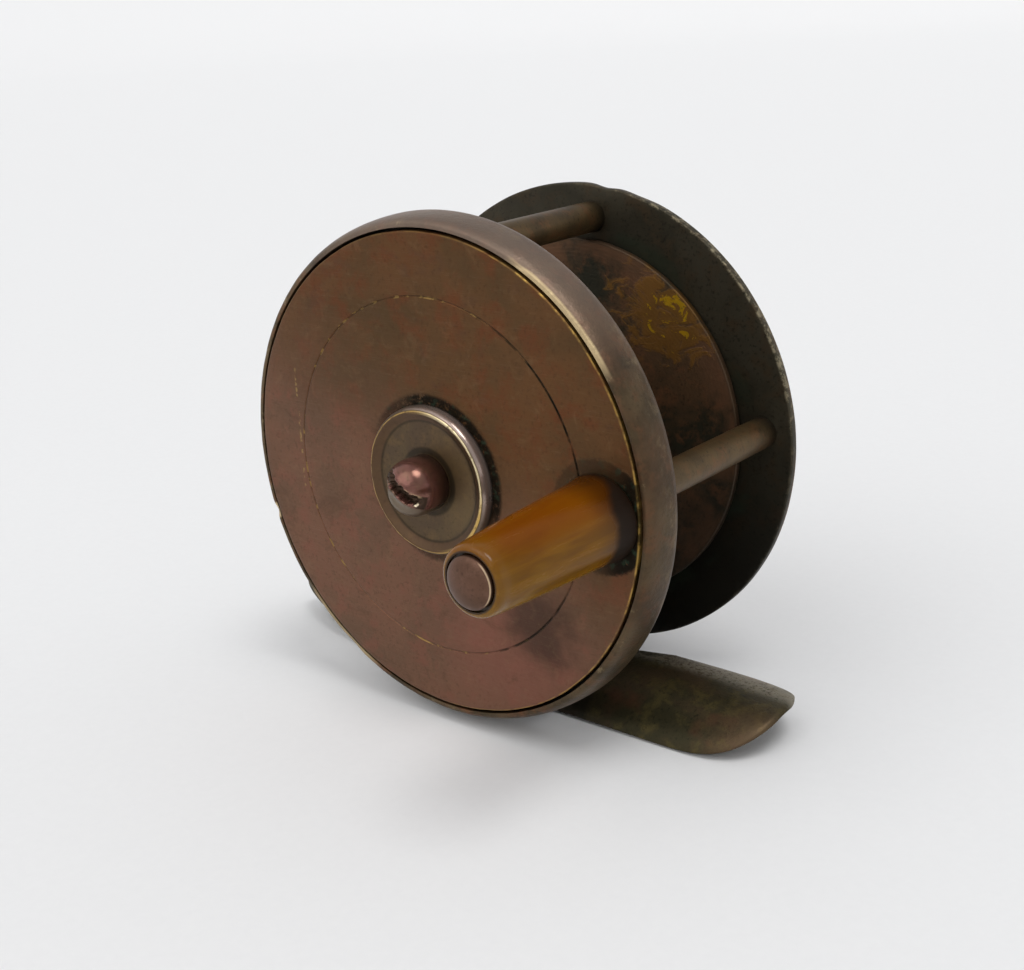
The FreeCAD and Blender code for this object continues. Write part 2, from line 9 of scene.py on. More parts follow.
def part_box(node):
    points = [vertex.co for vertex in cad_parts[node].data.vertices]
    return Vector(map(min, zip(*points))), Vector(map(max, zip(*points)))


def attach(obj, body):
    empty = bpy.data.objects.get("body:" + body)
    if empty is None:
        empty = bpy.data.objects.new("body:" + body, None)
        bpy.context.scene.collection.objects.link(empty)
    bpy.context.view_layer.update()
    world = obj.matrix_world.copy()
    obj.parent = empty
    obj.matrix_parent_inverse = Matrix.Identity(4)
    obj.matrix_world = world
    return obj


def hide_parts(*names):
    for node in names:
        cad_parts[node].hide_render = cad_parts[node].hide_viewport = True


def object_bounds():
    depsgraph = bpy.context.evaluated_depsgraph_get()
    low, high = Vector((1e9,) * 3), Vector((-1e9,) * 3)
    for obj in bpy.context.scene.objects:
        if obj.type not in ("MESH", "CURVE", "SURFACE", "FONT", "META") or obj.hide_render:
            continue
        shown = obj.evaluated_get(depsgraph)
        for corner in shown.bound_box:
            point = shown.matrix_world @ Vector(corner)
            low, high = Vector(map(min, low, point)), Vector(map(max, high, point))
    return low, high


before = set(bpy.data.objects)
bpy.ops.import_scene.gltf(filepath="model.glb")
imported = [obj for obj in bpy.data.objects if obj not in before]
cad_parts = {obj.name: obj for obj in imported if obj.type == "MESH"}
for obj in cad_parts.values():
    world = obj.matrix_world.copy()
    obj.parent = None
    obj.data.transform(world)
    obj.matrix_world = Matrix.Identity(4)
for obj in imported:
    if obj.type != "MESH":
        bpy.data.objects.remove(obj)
cad_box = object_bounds()

# ---------------------------------------------------------------- studio table and camera
# A pale paper sweep on a table, and a camera a little above the reel, in front and to
# its handle side. The sweep is one sheet that curves up a long way off, all round.
MM = 0.001
floor_z = cad_box[0].z
axis_height = (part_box("winding_plate")[0].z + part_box("winding_plate")[1].z) / 2


def collected(name, mesh):
    """Puts a mesh in the scene as an object at the origin."""
    piece = bpy.data.objects.new(name, mesh)
    bpy.context.scene.collection.objects.link(piece)
    return piece


def grid_mesh(name, points, wrap_u=False, wrap_v=False, smooth=True):
    """Mesh from an array of points [u, v, xyz]: each cell of the grid becomes one quad, and
    a wrapped direction joins its last row to its first. Faces follow the u then v turn."""
    rows, columns = points.shape[:2]
    u = np.arange(rows if wrap_u else rows - 1)
    v = np.arange(columns if wrap_v else columns - 1)
    u, v = np.meshgrid(u, v, indexing="ij")
    next_u, next_v = (u + 1) % rows, (v + 1) % columns
    quads = np.stack([
        u * columns + v, next_u * columns + v, next_u * columns + next_v, u * columns + next_v
    ], -1).reshape(-1, 4)
    mesh = bpy.data.meshes.new(name)
    mesh.vertices.add(rows * columns)
    mesh.vertices.foreach_set("co", points.reshape(-1).astype(np.float32))
    mesh.loops.add(quads.size)
    mesh.loops.foreach_set("vertex_index", quads.reshape(-1).astype(np.int32))
    mesh.polygons.add(len(quads))
    mesh.polygons.foreach_set("loop_start", np.arange(0, quads.size, 4, dtype=np.int32))
    mesh.polygons.foreach_set("use_smooth", np.full(len(quads), smooth))
    mesh.update(calc_edges=True)
    mesh.validate()
    return mesh


class Socket:
    """A shader value that takes part in Python arithmetic; each operation is one Math node."""

    def __init__(self, tree, link):
        self.tree = tree
        self.link = link

    def math(self, operation, *values, clamp=False):
        node = self.tree.nodes.new("ShaderNodeMath")
        node.operation = operation
        node.use_clamp = clamp
        for place, value in enumerate((self,) + values):
            plug(self.tree, node.inputs[place], value)
        return Socket(self.tree, node.outputs[0])

    def __add__(self, other):
        return self.math("ADD", other)

    def __sub__(self, other):
        return self.math("SUBTRACT", other)

    def __mul__(self, other):
        return self.math("MULTIPLY", other)

    def __truediv__(self, other):
        return self.math("DIVIDE", other)

    def __pow__(self, other):
        return self.math("POWER", other)

    __radd__ = __add__
    __rmul__ = __mul__

    def __rsub__(self, other):
        return self * -1.0 + other

    def clip(self):
        return self.math("ADD", 0.0, clamp=True)

    def most(self, other):
        return self.math("MAXIMUM", other)

    def size(self):
        return self.math("ABSOLUTE")

    def step(self, low, high):
        """0 below low and 1 above high, smooth between; low may be the larger."""
        share = ((self - low) * (1.0 / (high - low))).clip()
        return share * share * (3.0 - 2.0 * share)

    def band(self, centre, half, soft):
        """1 within half of centre, falling to 0 over soft beyond."""
        return (self - centre).size().step(half + soft, half)


def plug(tree, socket, value):
    """Links a Socket, or sets a plain value, on a node's input."""
    if isinstance(value, Socket):
        tree.links.new(value.link, socket)
    elif isinstance(value, (tuple, list)) and len(value) == 3 and socket.type == "RGBA":
        socket.default_value = (*value, 1.0)
    else:
        socket.default_value = value


class Finish:
    """A material under construction, with its nodes made by one method."""

    def __init__(self, name):
        self.material = bpy.data.materials.new(name)
        self.material.use_nodes = True
        self.tree = self.material.node_tree
        self.tree.nodes.clear()

    def node(self, kind, settings=None, output=0, **sockets):
        """One node: its settings first, then its sockets by name (spaces as _) or number."""
        node = self.tree.nodes.new("ShaderNode" + kind)
        for key, value in (settings or {}).items():
            setattr(node, key, value)
        for key, value in sockets.items():
            name = int(key[1:]) if key[0] == "n" and key[1:].isdigit() else key.replace("_", " ")
            plug(self.tree, node.inputs[name], value)
        return Socket(self.tree, node.outputs[output]) if node.outputs else None

    def place(self):
        """Place on the reel in millimetres: X and Z from the spindle's axis, Y along it."""
        metres = self.node("TexCoord", output=3)
        return self.moved(metres, (0, 0, -axis_height / MM), scale=(1 / MM, 1 / MM, 1 / MM))

    def parts(self, vector):
        node = self.tree.nodes.new("ShaderNodeSeparateXYZ")
        plug(self.tree, node.inputs[0], vector)
        return [Socket(self.tree, out) for out in node.outputs]

    def moved(self, vector, offset=(0, 0, 0), turn=(0, 0, 0), scale=(1, 1, 1)):
        return self.node("Mapping", n0=vector, n1=offset, n2=turn, n3=scale)

    def noise(self, vector, scale, detail=4.0, rough=0.55, distort=0.0):
        return self.node(
            "TexNoise", Vector=vector, Scale=scale, Detail=detail, Roughness=rough, Distortion=distort
        )

    def mix(self, share, one, other, blend="MIX"):
        """Colour mix: one where share is 0, other where it is 1."""
        settings = {"data_type": "RGBA", "blend_type": blend}
        return self.node("Mix", settings, 2, n0=share, n6=one, n7=other)

    def rings(self, vector, scale, distort):
        """Turning marks: rings round the spindle's axis."""
        return self.node("TexWave", {"wave_type": "RINGS", "rings_direction": "SPHERICAL"},
                         Vector=self.moved(vector, scale=(1.0, 0.0, 1.0)), Scale=scale,
                         Distortion=distort, Detail=2.0)

    def bump(self, height, strength, distance):
        return self.node("Bump", n0=strength, n1=distance, Height=height)

    def surface(self, **sockets):
        """Principled surface to the output; returns the finished material."""
        shader = self.node("BsdfPrincipled", **sockets)
        self.node("OutputMaterial", n0=shader)
        return self.material


def begun(name):
    """A new finish, with the place on the reel and its three parts in millimetres."""
    finish = Finish(name)
    at = finish.place()
    return (finish, at, *finish.parts(at))


def colour(red, green, blue):
    """A colour given as it looks on a screen, 0 to 255, turned to light values."""
    return tuple((c / 255.0) ** 2.2 for c in (red, green, blue))


SHEET_HALF = 5.6
SHEET_FLAT = 2.0
SHEET_SLOPE = 3.2
SHEET_RISE = 2.2


def paper_sweep():
    """A square sheet, in metres: flat until far out, then rising smoothly with the distance
    from the middle, so that it stands up all round like the wall of a bowl."""
    side = np.linspace(-SHEET_HALF, SHEET_HALF, 141)
    xx, yy = np.meshgrid(side, side, indexing="ij")
    share = np.clip((np.hypot(xx, yy) - SHEET_FLAT) / SHEET_SLOPE, 0, 1)
    return np.stack([xx, yy, floor_z + SHEET_RISE * share ** 2 * (3 - 2 * share)], -1)


paper = Finish("pale_paper")
paper_grain = paper.noise(paper.place(), 0.9, 3.0)
paper_colour = paper.mix(paper_grain, (0.79, 0.79, 0.79), (0.82, 0.82, 0.818))
sweep = collected("paper_sweep", grid_mesh("paper_sweep", paper_sweep()))
sweep.data.materials.append(paper.surface(Base_Color=paper_colour, Roughness=0.8))

AZIMUTH, ELEVATION, ROLL = math.radians(39.85), math.radians(18.67), math.radians(-2.78)
AIM = Vector((8.2, -13.3, -1.2)) * MM + Vector((0, 0, axis_height))
DISTANCE = 201.6 * MM
eye = bpy.data.cameras.new("eye")
camera = bpy.data.objects.new("eye", eye)
bpy.context.scene.collection.objects.link(camera)
eye.lens, eye.sensor_width = 53.3, 36.0
eye.clip_start, eye.clip_end = 0.01, 60.0
back = Vector((
    math.sin(AZIMUTH) * math.cos(ELEVATION), -math.cos(AZIMUTH) * math.cos(ELEVATION), math.sin(ELEVATION)
))
level = (-back).to_track_quat("-Z", "Y").to_matrix().to_4x4()
camera.matrix_world = (
    Matrix.Translation(AIM + back * DISTANCE) @ level @ Matrix.Rotation(ROLL, 4, "Z")
)
bpy.context.scene.camera = camera


def sky_light(name, bearing, height, strength, spread, tint=(1, 1, 1)):
    """Far soft light: bearing is degrees round from straight in front, towards the handle
    side; height is degrees up; spread is how wide it looks from the table."""
    lamp = bpy.data.lights.new(name, "SUN")
    lamp.energy, lamp.angle, lamp.color = strength, math.radians(spread), tint
    holder = bpy.data.objects.new(name, lamp)
    bpy.context.scene.collection.objects.link(holder)
    turn, up = math.radians(bearing), math.radians(height)
    start = Vector((math.sin(turn) * math.cos(up), -math.cos(turn) * math.cos(up), math.sin(up)))
    holder.matrix_world = start.to_track_quat("Z", "Y").to_matrix().to_4x4()
    return holder


sky_light("ceiling_bounce", 71, 70, 0.95, 26)
sky_light("window_left", -52, 40, 0.45, 80, (1.0, 0.99, 0.97))
sky_light("room_front", -8, 40, 0.85, 60)

world = bpy.data.worlds.new("studio")
bpy.context.scene.world = world
world.use_nodes = True
world.node_tree.nodes["Background"].inputs[0].default_value = (0.96, 0.97, 1.0, 1.0)
world.node_tree.nodes["Background"].inputs[1].default_value = 0.52
bpy.context.scene.view_settings.view_transform = "Standard"

# ---------------------------------------------------------------- foot
# The foot that is whipped to the rod: one strip of bronze, arched to the rod's round and
# filed to a tongue at each end, thinner towards its edges. Two screws hold it to the frame.
SEAT_R = 10.0
FOOT_T = 1.5
FOOT_HALF_ANGLE = math.radians(57)
FOOT_REACH = (-48.0, 42.1)
FOOT_TIPS = (34.0, 14.0)
FOOT_SCREWS_X = 10.0
FOOT_BELL = 1.7


def ripple(angle, seed, orders=(2, 3, 5, 8), fall=1.0):
    """Slow unevenness round a turn, about -1 to 1: a sum of waves of the given orders, each
    with its own seeded phase and a height that falls with its order."""
    phases = np.random.default_rng(seed).uniform(0, 2 * math.pi, len(orders))
    waves = [np.sin(n * angle + p) / n ** fall for n, p in zip(orders, phases)]
    return sum(waves) / sum(1 / n ** fall for n in orders)


def closed_piece(name, points, body, finish, wrap_v=True, smooth=True):
    """A closed surface from a grid given in millimetres, with its poles and seam merged and
    its faces turned outwards; it rides on a body and is dressed in its finish."""
    mesh = grid_mesh(name, points * MM, True, wrap_v, smooth)
    shell = bmesh.new()
    shell.from_mesh(mesh)
    bmesh.ops.remove_doubles(shell, verts=shell.verts, dist=1e-7)
    bmesh.ops.recalc_face_normals(shell, faces=shell.faces)
    shell.to_mesh(mesh)
    shell.free()
    mesh.materials.append(finish)
    piece = collected(name, mesh)
    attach(piece, body)
    return piece


def foot_leaf():
    """A ring carried along X. The ring runs over the arch and back under it: across is the
    sine-like share from edge to edge, and height goes from the seat's radius to the outer
    one with a round at each edge. Towards each tip the half width falls along a rounded
    curve, blunter at the right, and in the last millimetre the thickness closes to a point.
    To the right the back shoulder is hammered up by a bell, FOOT_BELL high."""
    turn = np.linspace(0, 2 * math.pi, 120, endpoint=False)
    across = np.sign(np.cos(turn)) * (1 - (1 - np.abs(np.cos(turn))) ** 1.6)
    over = np.sin(turn)
    lift = 0.5 + 0.5 * np.sign(over) * np.abs(over) ** 0.42
    half = math.pi / 2
    steps = np.sin(np.linspace(0, half, 70))
    left = FOOT_REACH[0] + FOOT_TIPS[0] * (1 - steps[::-1])
    right = FOOT_REACH[1] - FOOT_TIPS[1] * (1 - steps)
    middle = np.linspace(left[-1], right[0], 90)[1:-1]
    x = np.concatenate([left, middle, right])
    into_left = np.clip((left[-1] - x) / FOOT_TIPS[0], 0, 1)
    into_right = np.clip((x - right[0]) / FOOT_TIPS[1], 0, 1)
    into = np.maximum(into_left, into_right)
    onset, blunt = np.where(x < 0, 1.7, 3.0), np.where(x < 0, 0.66, 0.5)
    width = FOOT_HALF_ANGLE * np.maximum(1 - into ** onset, 0) ** blunt
    width = width * (1 - 0.012 * ripple(x / 14, 3, (1, 2, 3)))
    from_end = np.minimum(x - FOOT_REACH[0], FOOT_REACH[1] - x)
    close = np.sqrt(np.clip(1 - (1 - np.clip(from_end / 1.1, 0, 1)) ** 2, 0, 1))
    thick = FOOT_T * (1 - 0.42 * into ** 2) * close
    xx, aa = x[:, None], across[None, :] * width[:, None]
    thin = 1 - 0.45 * np.abs(across[None, :]) ** 4
    wave = 0.05 * np.sin(xx / 6.1 + 1.3) * np.cos(aa * 3.1 + xx / 11)
    middle_r = SEAT_R + FOOT_T * 0.45 * (1 - close[:, None])
    well = 0.28 / (1 + (((np.abs(xx) - FOOT_SCREWS_X) ** 2 + (aa * SEAT_R) ** 2) / 4.2) ** 4)
    inner = middle_r + well
    outer = SEAT_R + np.maximum(thick[:, None] * thin - 0.06 + wave * close[:, None], 0.02)
    outer = np.maximum(outer, middle_r + 0.004)
    radius = inner + (outer - inner) * lift[None, :]
    raised = FOOT_BELL * np.clip((xx - 9) / 12, 0, 1) * np.exp(-((aa * SEAT_R - 6.6) / 4.0) ** 2)
    points = [xx + 0 * aa, radius * np.sin(aa), radius * np.cos(aa) + raised]
    return np.stack(points, -1).transpose(1, 0, 2)


def patina(finish, at, tones, patch=8.0, shift=0.0):
    """Tarnish of old bronze: two browns in broad clouds, a third in smaller patches, a dark
    one in fine specks. Returns its colour, with the cloud and speck values for other use."""
    spot = finish.moved(at, (shift, -0.6 * shift, 1.7 * shift))
    cloud = finish.noise(spot, 1 / patch, 5.0, 0.6, 0.35)
    small = finish.noise(spot, 3.1 / patch, 6.0, 0.66, 0.2)
    speck = finish.noise(spot, 1.9, 3.0, 0.62)
    base = finish.mix(cloud.step(0.36, 0.64), tones[0], tones[1])
    base = finish.mix(small.step(0.47, 0.68) * 0.75, base, tones[2])
    return finish.mix(speck.step(0.47, 0.30) * 0.45, base, tones[3]), cloud, speck


def hairlines(finish, at, degrees, seed, crowd=0.55):
    """Fine straight scratches across the faces square to Y: noise drawn out along one
    direction, kept only near one value."""
    drawn = finish.moved(at, (seed, 0, seed), (0, math.radians(degrees), 0), (0.045, 0.3, 2.6))
    return finish.noise(drawn, 1.0, 2.0, 0.5).band(crowd, 0.0, 0.012)


def toward(x, z, reach, degrees):
    """1 in a direction round the spindle and -1 opposite; 0 degrees is the handle side and
    90 is up. The value falls off as the cosine of the angle between."""
    turn = math.radians(degrees)
    return (x * math.cos(turn) + z * math.sin(turn)) / reach.most(0.01)


BRASS = colour(196, 158, 84)
# A near-black used for dirt, and also for painted shade in recesses and under parts.
GRIME_AND_SHADE = colour(21, 20, 13)
VERDIGRIS = colour(52, 66, 52)

foot, at, x, y, z = begun("foot_bronze")
across = y.size()
base, cloud, speck = patina(
    foot, at, [colour(60, 56, 38), colour(78, 64, 46), colour(90, 80, 48), colour(24, 22, 13)], 9.0, 5.0
)
smooth_spots = foot.noise(at, 0.13, 3.0, 0.5)
base = foot.mix(smooth_spots.step(0.55, 0.7) * 0.6, base, colour(96, 62, 44))
# Along the far side of the arch the colour is lightened in specks: a painted highlight, with some wear.
wear_and_sheen = y.band(5.4, 2.0, 2.6) * (foot.noise(at, 1.5, 5.0, 0.8) + x * 0.003).step(0.46, 0.62)
base = foot.mix(wear_and_sheen * 0.6, base, colour(160, 152, 136))
base = foot.mix(x.step(33.0, 41.0) * y.step(1.0, -4.0) * 0.5, base, colour(104, 82, 62))
edge = across.step(8.9, 9.5) * foot.noise(at, 0.45, 3.0).step(0.48, 0.62)
base = foot.mix(edge * 0.7, base, colour(150, 132, 90))
# Dirt round the screw heads, and the middle, under the frame, darkened as painted shade.
dirt_and_shade = (x.size().band(FOOT_SCREWS_X, 3.4, 3.0) + x.size().step(24, 12) * 0.8).clip()
base = foot.mix(dirt_and_shade * 0.8, base, GRIME_AND_SHADE)
pits = foot.noise(at, 2.4, 4.0, 0.65)
relief = foot.bump(pits * 0.6 + cloud, 0.35, 0.00022)
foot_bronze = foot.surface(
    Base_Color=base, Metallic=0.72, Roughness=0.36 + speck * 0.22 + wear_and_sheen * 0.12, Normal=relief
)
foot_piece = closed_piece("foot_leaf", foot_leaf(), "frame", foot_bronze)
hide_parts("foot")


def dress(finish, *nodes):
    """Gives carried-over metal pieces their finish."""
    for name in nodes:
        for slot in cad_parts[name].material_slots:
            slot.material = finish


# ---------------------------------------------------------------- pillars
# Five plain round bars turned from bronze, riveted into the front plate and screwed to the
# back plate. Their ends, by the plates, are darkened as painted shade, and the line has
# rubbed their middles.
WEB_BACK_Y, BACK_IN_Y = -14.65, 14.65

pillar, at, x, y, z = begun("pillar_bronze")
base, cloud, speck = patina(
    pillar, at, [colour(94, 76, 50), colour(76, 62, 42), colour(104, 74, 48), colour(36, 29, 18)], 7.0, 21.0
)
turning = pillar.noise(pillar.moved(at, scale=(0.08, 2.2, 0.08)), 1.0, 3.0, 0.6)
base = pillar.mix(turning.step(0.5, 0.75) * cloud * 0.28, base, colour(112, 90, 60))
# Painted shade at each end of the pillars, where they meet the plates.
end_shade = (y.step(WEB_BACK_Y + 3.4, WEB_BACK_Y + 0.2) + y.step(BACK_IN_Y - 3.2, BACK_IN_Y - 0.1)).clip()
end_shade = end_shade * (0.45 + cloud)
base = pillar.mix(end_shade.clip() * 0.85, base, GRIME_AND_SHADE)
relief = pillar.bump(turning * 0.4 + cloud + speck * 0.4, 0.22, 0.0001)
pillar_bronze = pillar.surface(
    Base_Color=base, Metallic=0.72, Roughness=0.34 + speck * 0.2 + end_shade * 0.15, Normal=relief
)
dress(
    pillar_bronze, "pillar_top", "pillar_handle_side", "pillar_far_side",
    "foot_pillar_right", "foot_pillar_left"
)

# ---------------------------------------------------------------- front plate
# The front frame plate: a shallow cup of bronze, spun and turned, whose rounded rim stands
# round the winding plate. Years of handling have bruised the rim and worn its lip bright. The
# colour also carries painted light: a highlight on the lip at the upper right, a lighter top,
# and shade inside the rim and behind it.
FRONT_R = 35.0
RIM_IN_R = 33.4
WEB_FRONT_Y = -16.05
LIP_Y = -19.475
RIM_DEPTH = 5.9
RIM_CREST = 4.8
BUSH_R = 5.04


def softened(corners, soft, most=0.5, closed=True):
    """Outline through corners (radius, y): each corner is replaced by a short quadratic
    curve that starts and ends soft back along its two sides, and long sides are cut into
    equal parts no longer than most."""
    corners = np.asarray(corners, float)
    before, after = np.roll(corners, 1, 0), np.roll(corners, -1, 0)
    soft = np.broadcast_to(soft, len(corners)).astype(float)[:, None]
    sides = [before - corners, after - corners]
    lengths = [np.linalg.norm(side, axis=1, keepdims=True) for side in sides]
    cuts = [np.minimum(soft, 0.48 * length) for length in lengths]
    if not closed:
        cuts[0][[0, -1]] = cuts[1][[0, -1]] = 0.0
    start = corners + sides[0] / lengths[0] * cuts[0]
    end = corners + sides[1] / lengths[1] * cuts[1]
    t = np.linspace(0, 1, 5)[None, :, None]
    curve = (1 - t) ** 2 * start[:, None] + 2 * t * (1 - t) * corners[:, None] + t ** 2 * end[:, None]
    curve = curve.reshape(-1, 2)
    follow = np.roll(curve, -1, 0)
    if not closed:
        curve, follow, last = curve[:-1], follow[:-1], curve[-1:]
    length = np.linalg.norm(follow - curve, axis=1)
    keep = length > 1e-5
    curve, follow, length = curve[keep], follow[keep], length[keep]
    count = np.ceil(length / most).astype(int)
    index = np.repeat(np.arange(len(curve)), count)
    part = (np.arange(count.sum()) - np.repeat(np.cumsum(count) - count, count)) / count[index]
    line = curve[index] + part[:, None] * (follow - curve)[index]
    return line if closed else np.vstack([line, last])


def spun(line, steps, x=0.0, z=0.0, wear=None):
    """The outline turned round a line parallel to Y at (x, z) from the spindle: at each
    angle, radius times cosine and sine give X and Z. wear changes radius and y by angle."""
    angle = np.linspace(0, 2 * math.pi, steps, endpoint=False)[:, None]
    radius, along = line[None, :, 0] + 0 * angle, line[None, :, 1] + 0 * angle
    if wear:
        radius, along = wear(radius, along, angle)
    height = axis_height / MM + z + radius * np.sin(angle)
    return np.stack([x + radius * np.cos(angle), along, height], -1)


def near(angle, degrees, half):
    """1 at an angle, falling as a bell of the given half width in degrees."""
    off = (angle - math.radians(degrees) + math.pi) % (2 * math.pi) - math.pi
    return np.exp(-(off / math.radians(half)) ** 2)


def cup_line():
    """Rim and web section: the outside of the rim is about a quarter of an ellipse, and its
    radius grows with the sine, to the power 0.9, of the way back from lip to crest."""
    share = np.linspace(0, 1, 15)[1:-1]
    lip_r = RIM_IN_R + 0.35
    round_y = LIP_Y + RIM_CREST * (1 - np.cos(share * math.pi / 2))
    round_r = lip_r + (FRONT_R - lip_r) * np.sin(share * math.pi / 2) ** 0.9
    rear_y = LIP_Y + RIM_DEPTH
    corners = [(BUSH_R, WEB_FRONT_Y), (RIM_IN_R, WEB_FRONT_Y), (RIM_IN_R, LIP_Y), (lip_r, LIP_Y)]
    corners += list(zip(round_r, round_y))
    corners += [
        (FRONT_R, LIP_Y + RIM_CREST), (FRONT_R - 0.15, rear_y - 0.45), (FRONT_R - 0.5, rear_y),
        (FRONT_R - 1.6, rear_y), (FRONT_R - 1.6, WEB_BACK_Y), (BUSH_R, WEB_BACK_Y)
    ]
    soft = [0.2, 0.2, 0.12, 0.14] + [0.4] * 13 + [0.3, 0.3, 0.25, 0.2, 0.2, 0.2]
    return softened(corners, soft, 0.7)


def rim_wear(radius, along, angle):
    """Bruises only push the rim in: slow ripples, two worn stretches of lip and a few nicks."""
    outer = np.clip((radius - RIM_IN_R + 0.2) / 0.6, 0, 1)
    lip = outer * np.exp(-((along - LIP_Y) / 0.7) ** 2)
    slow = 0.05 * (1 + ripple(angle, 11))
    nick = 0.26 * near(angle, 198, 1.3) + 0.12 * near(angle, 62, 2.2) + 0.10 * near(angle, 237, 3)
    fine = 0.02 * (1 + ripple(angle, 12, (23, 37, 53, 71), 0.3))
    radius = radius - outer * slow * 0.5 - lip * (fine + 0.5 * nick)
    return radius, along + lip * (0.10 * near(angle, 50, 14) + 0.08 * near(angle, 232, 12) + nick + fine)


cup, at, x, y, z = begun("rim_bronze")
reach = (x * x + z * z) ** 0.5
base, cloud, speck = patina(
    cup, at, [colour(98, 82, 60), colour(64, 53, 37), colour(112, 76, 52), colour(36, 29, 18)], 9.0, 33.0
)
warm = toward(x, z, reach, 20).step(0.55, 0.95) * cup.noise(at, 0.2, 4.0).step(0.38, 0.6)
base = cup.mix(warm * 0.4, base, colour(98, 70, 50))
# Lighter towards the top of the rim: painted highlight.
base = cup.mix(toward(x, z, reach, 82).step(0.55, 0.98) * 0.6, base, colour(134, 116, 104))
base = cup.mix(toward(x, z, reach, -8).step(0.6, 0.95) * 0.35, base, colour(62, 50, 34))
lip = y.step(LIP_Y + 0.42, LIP_Y + 0.16) * reach.step(33.2, 33.4)
rub = cup.noise(at, 0.5, 5.0, 0.7)
# The lip is worn bright in two stretches and at a nick; at the upper right the brightness is also a painted
# highlight.
lip_wear_and_highlight = toward(x, z, reach, 48).step(0.95, 0.98) + toward(x, z, reach, 233).step(0.965, 0.99) * 0.6
lip_wear_and_highlight = lip_wear_and_highlight + toward(x, z, reach, 198).step(0.9992, 0.9998) * 1.5
lip_wear_and_highlight = (lip_wear_and_highlight * 0.9 + rub.step(0.58, 0.7) * 0.2).clip() * lip * (0.35 + rub * 1.2)
lip_wear_and_highlight = lip_wear_and_highlight.clip()
base = cup.mix(lip_wear_and_highlight, base, colour(198, 176, 136))
crest = y.band(LIP_Y + RIM_CREST - 0.4, 0.5, 1.6) * reach.step(34.4, 34.8) * rub.step(0.5, 0.7)
base = cup.mix(crest * 0.35, base, colour(140, 122, 92))
# Painted shade on the rim's inner wall behind the lip and on the back of the rim.
inside = reach.step(33.5, 33.3) * y.step(LIP_Y + 0.1, LIP_Y + 0.8)
behind = y.step(LIP_Y + RIM_DEPTH - 1.2, LIP_Y + RIM_DEPTH + 0.1) * reach.step(34.6, 34.0)
base = cup.mix((inside + behind * 0.6).clip() * 0.9, base, GRIME_AND_SHADE)
marks = cup.noise(at, 1.1, 5.0, 0.7)
relief = cup.bump(marks * 0.6 + cloud * 1.6, 0.4, 0.0004)
rim_bronze = cup.surface(
    Base_Color=base, Metallic=(0.68 + lip_wear_and_highlight * 0.3).clip(),
    Roughness=0.36 + speck * 0.16 - lip_wear_and_highlight * 0.04, Normal=relief
)
cup_piece = closed_piece(
    "front_cup", spun(cup_line(), 480, wear=rim_wear), "frame", rim_bronze
)
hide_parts("front_plate")

# ---------------------------------------------------------------- back plate
# The back frame plate: a thin bronze disc, with painted shade over the lower part of its inner
# face, its edge worn pale where the line and the hand run over it and lit by a painted glint
# towards the upper right, and one small bruise at the top.
BACK_R = 34.6
BACK_OUT_Y = 15.95


def back_wear(radius, along, angle):
    """The edge is uneven by some hundredths and flattened for a few degrees near the top."""
    edge = np.clip((radius - BACK_R + 2.5) / 2.5, 0, 1) ** 2
    flat = 0.34 * near(angle, 83, 3.0) + 0.14 * near(angle, 74, 4)
    radius = radius - edge * (flat + 0.04 * (1 + ripple(angle, 21, (5, 9, 17, 31), 0.5)))
    return radius, along - edge * 0.12 * near(angle, 83, 5) * np.sign(along - 15.3)


rear, at, x, y, z = begun("back_bronze")
reach = (x * x + z * z) ** 0.5
base, cloud, speck = patina(
    rear, at, [colour(68, 63, 51), colour(56, 52, 41), colour(72, 59, 43), colour(24, 22, 15)], 11.0, 47.0
)
rub = rear.noise(at, 0.8, 5.0, 0.75)
# Painted shade: the inner face darker towards the bottom.
lower_inner_shade = z.step(6.0, -20.0) * y.step(BACK_OUT_Y - 0.2, BACK_IN_Y + 0.3)
base = rear.mix(lower_inner_shade * 0.85, base, colour(20, 19, 13))
# Edge worn pale in specks all round, and much more towards the upper right, where it is a painted glint.
worn_edge_and_glint = reach.step(BACK_R - 0.55, BACK_R - 0.2) * rub.step(0.47, 0.62)
worn_edge_and_glint = worn_edge_and_glint * (0.08 + toward(x, z, reach, 42).step(0.7, 0.97) * 0.5)
base = rear.mix(worn_edge_and_glint, base, colour(168, 156, 128))
green = reach.band(27.6, 0.5, 1.6) * cloud.step(0.45, 0.6)
base = rear.mix(green * 0.35, base, VERDIGRIS)
outside = y.step(BACK_IN_Y + 0.4, BACK_OUT_Y - 0.1)
handled = outside * rear.noise(at, 0.11, 5.0, 0.6).step(0.42, 0.62)
base = rear.mix(handled * 0.65, base, colour(98, 76, 54))
scratch = (hairlines(rear, at, 24, 3.0) + hairlines(rear, at, -58, 9.0)).clip() * (0.3 + rub)
base = rear.mix(scratch * outside * 0.16, base, colour(140, 116, 78))
skirt = reach.band(21.9, 0.3, 1.0) * outside
base = rear.mix(skirt * 0.6, base, GRIME_AND_SHADE)
relief = rear.bump(rub * 0.5 + cloud - scratch * 0.06, 0.3, 0.0002)
back_bronze = rear.surface(
    Base_Color=base, Metallic=(0.7 + worn_edge_and_glint * 0.25).clip(),
    Roughness=0.42 + speck * 0.18 - handled * 0.08, Normal=relief
)
back_line = softened(
    [(BUSH_R, BACK_IN_Y), (BACK_R, BACK_IN_Y), (BACK_R, BACK_OUT_Y), (BUSH_R, BACK_OUT_Y)],
    [0.05, 0.3, 0.3, 0.05], 0.9
)
back_piece = closed_piece(
    "rear_disc", spun(back_line, 480, wear=back_wear), "frame", back_bronze
)
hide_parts("back_plate")

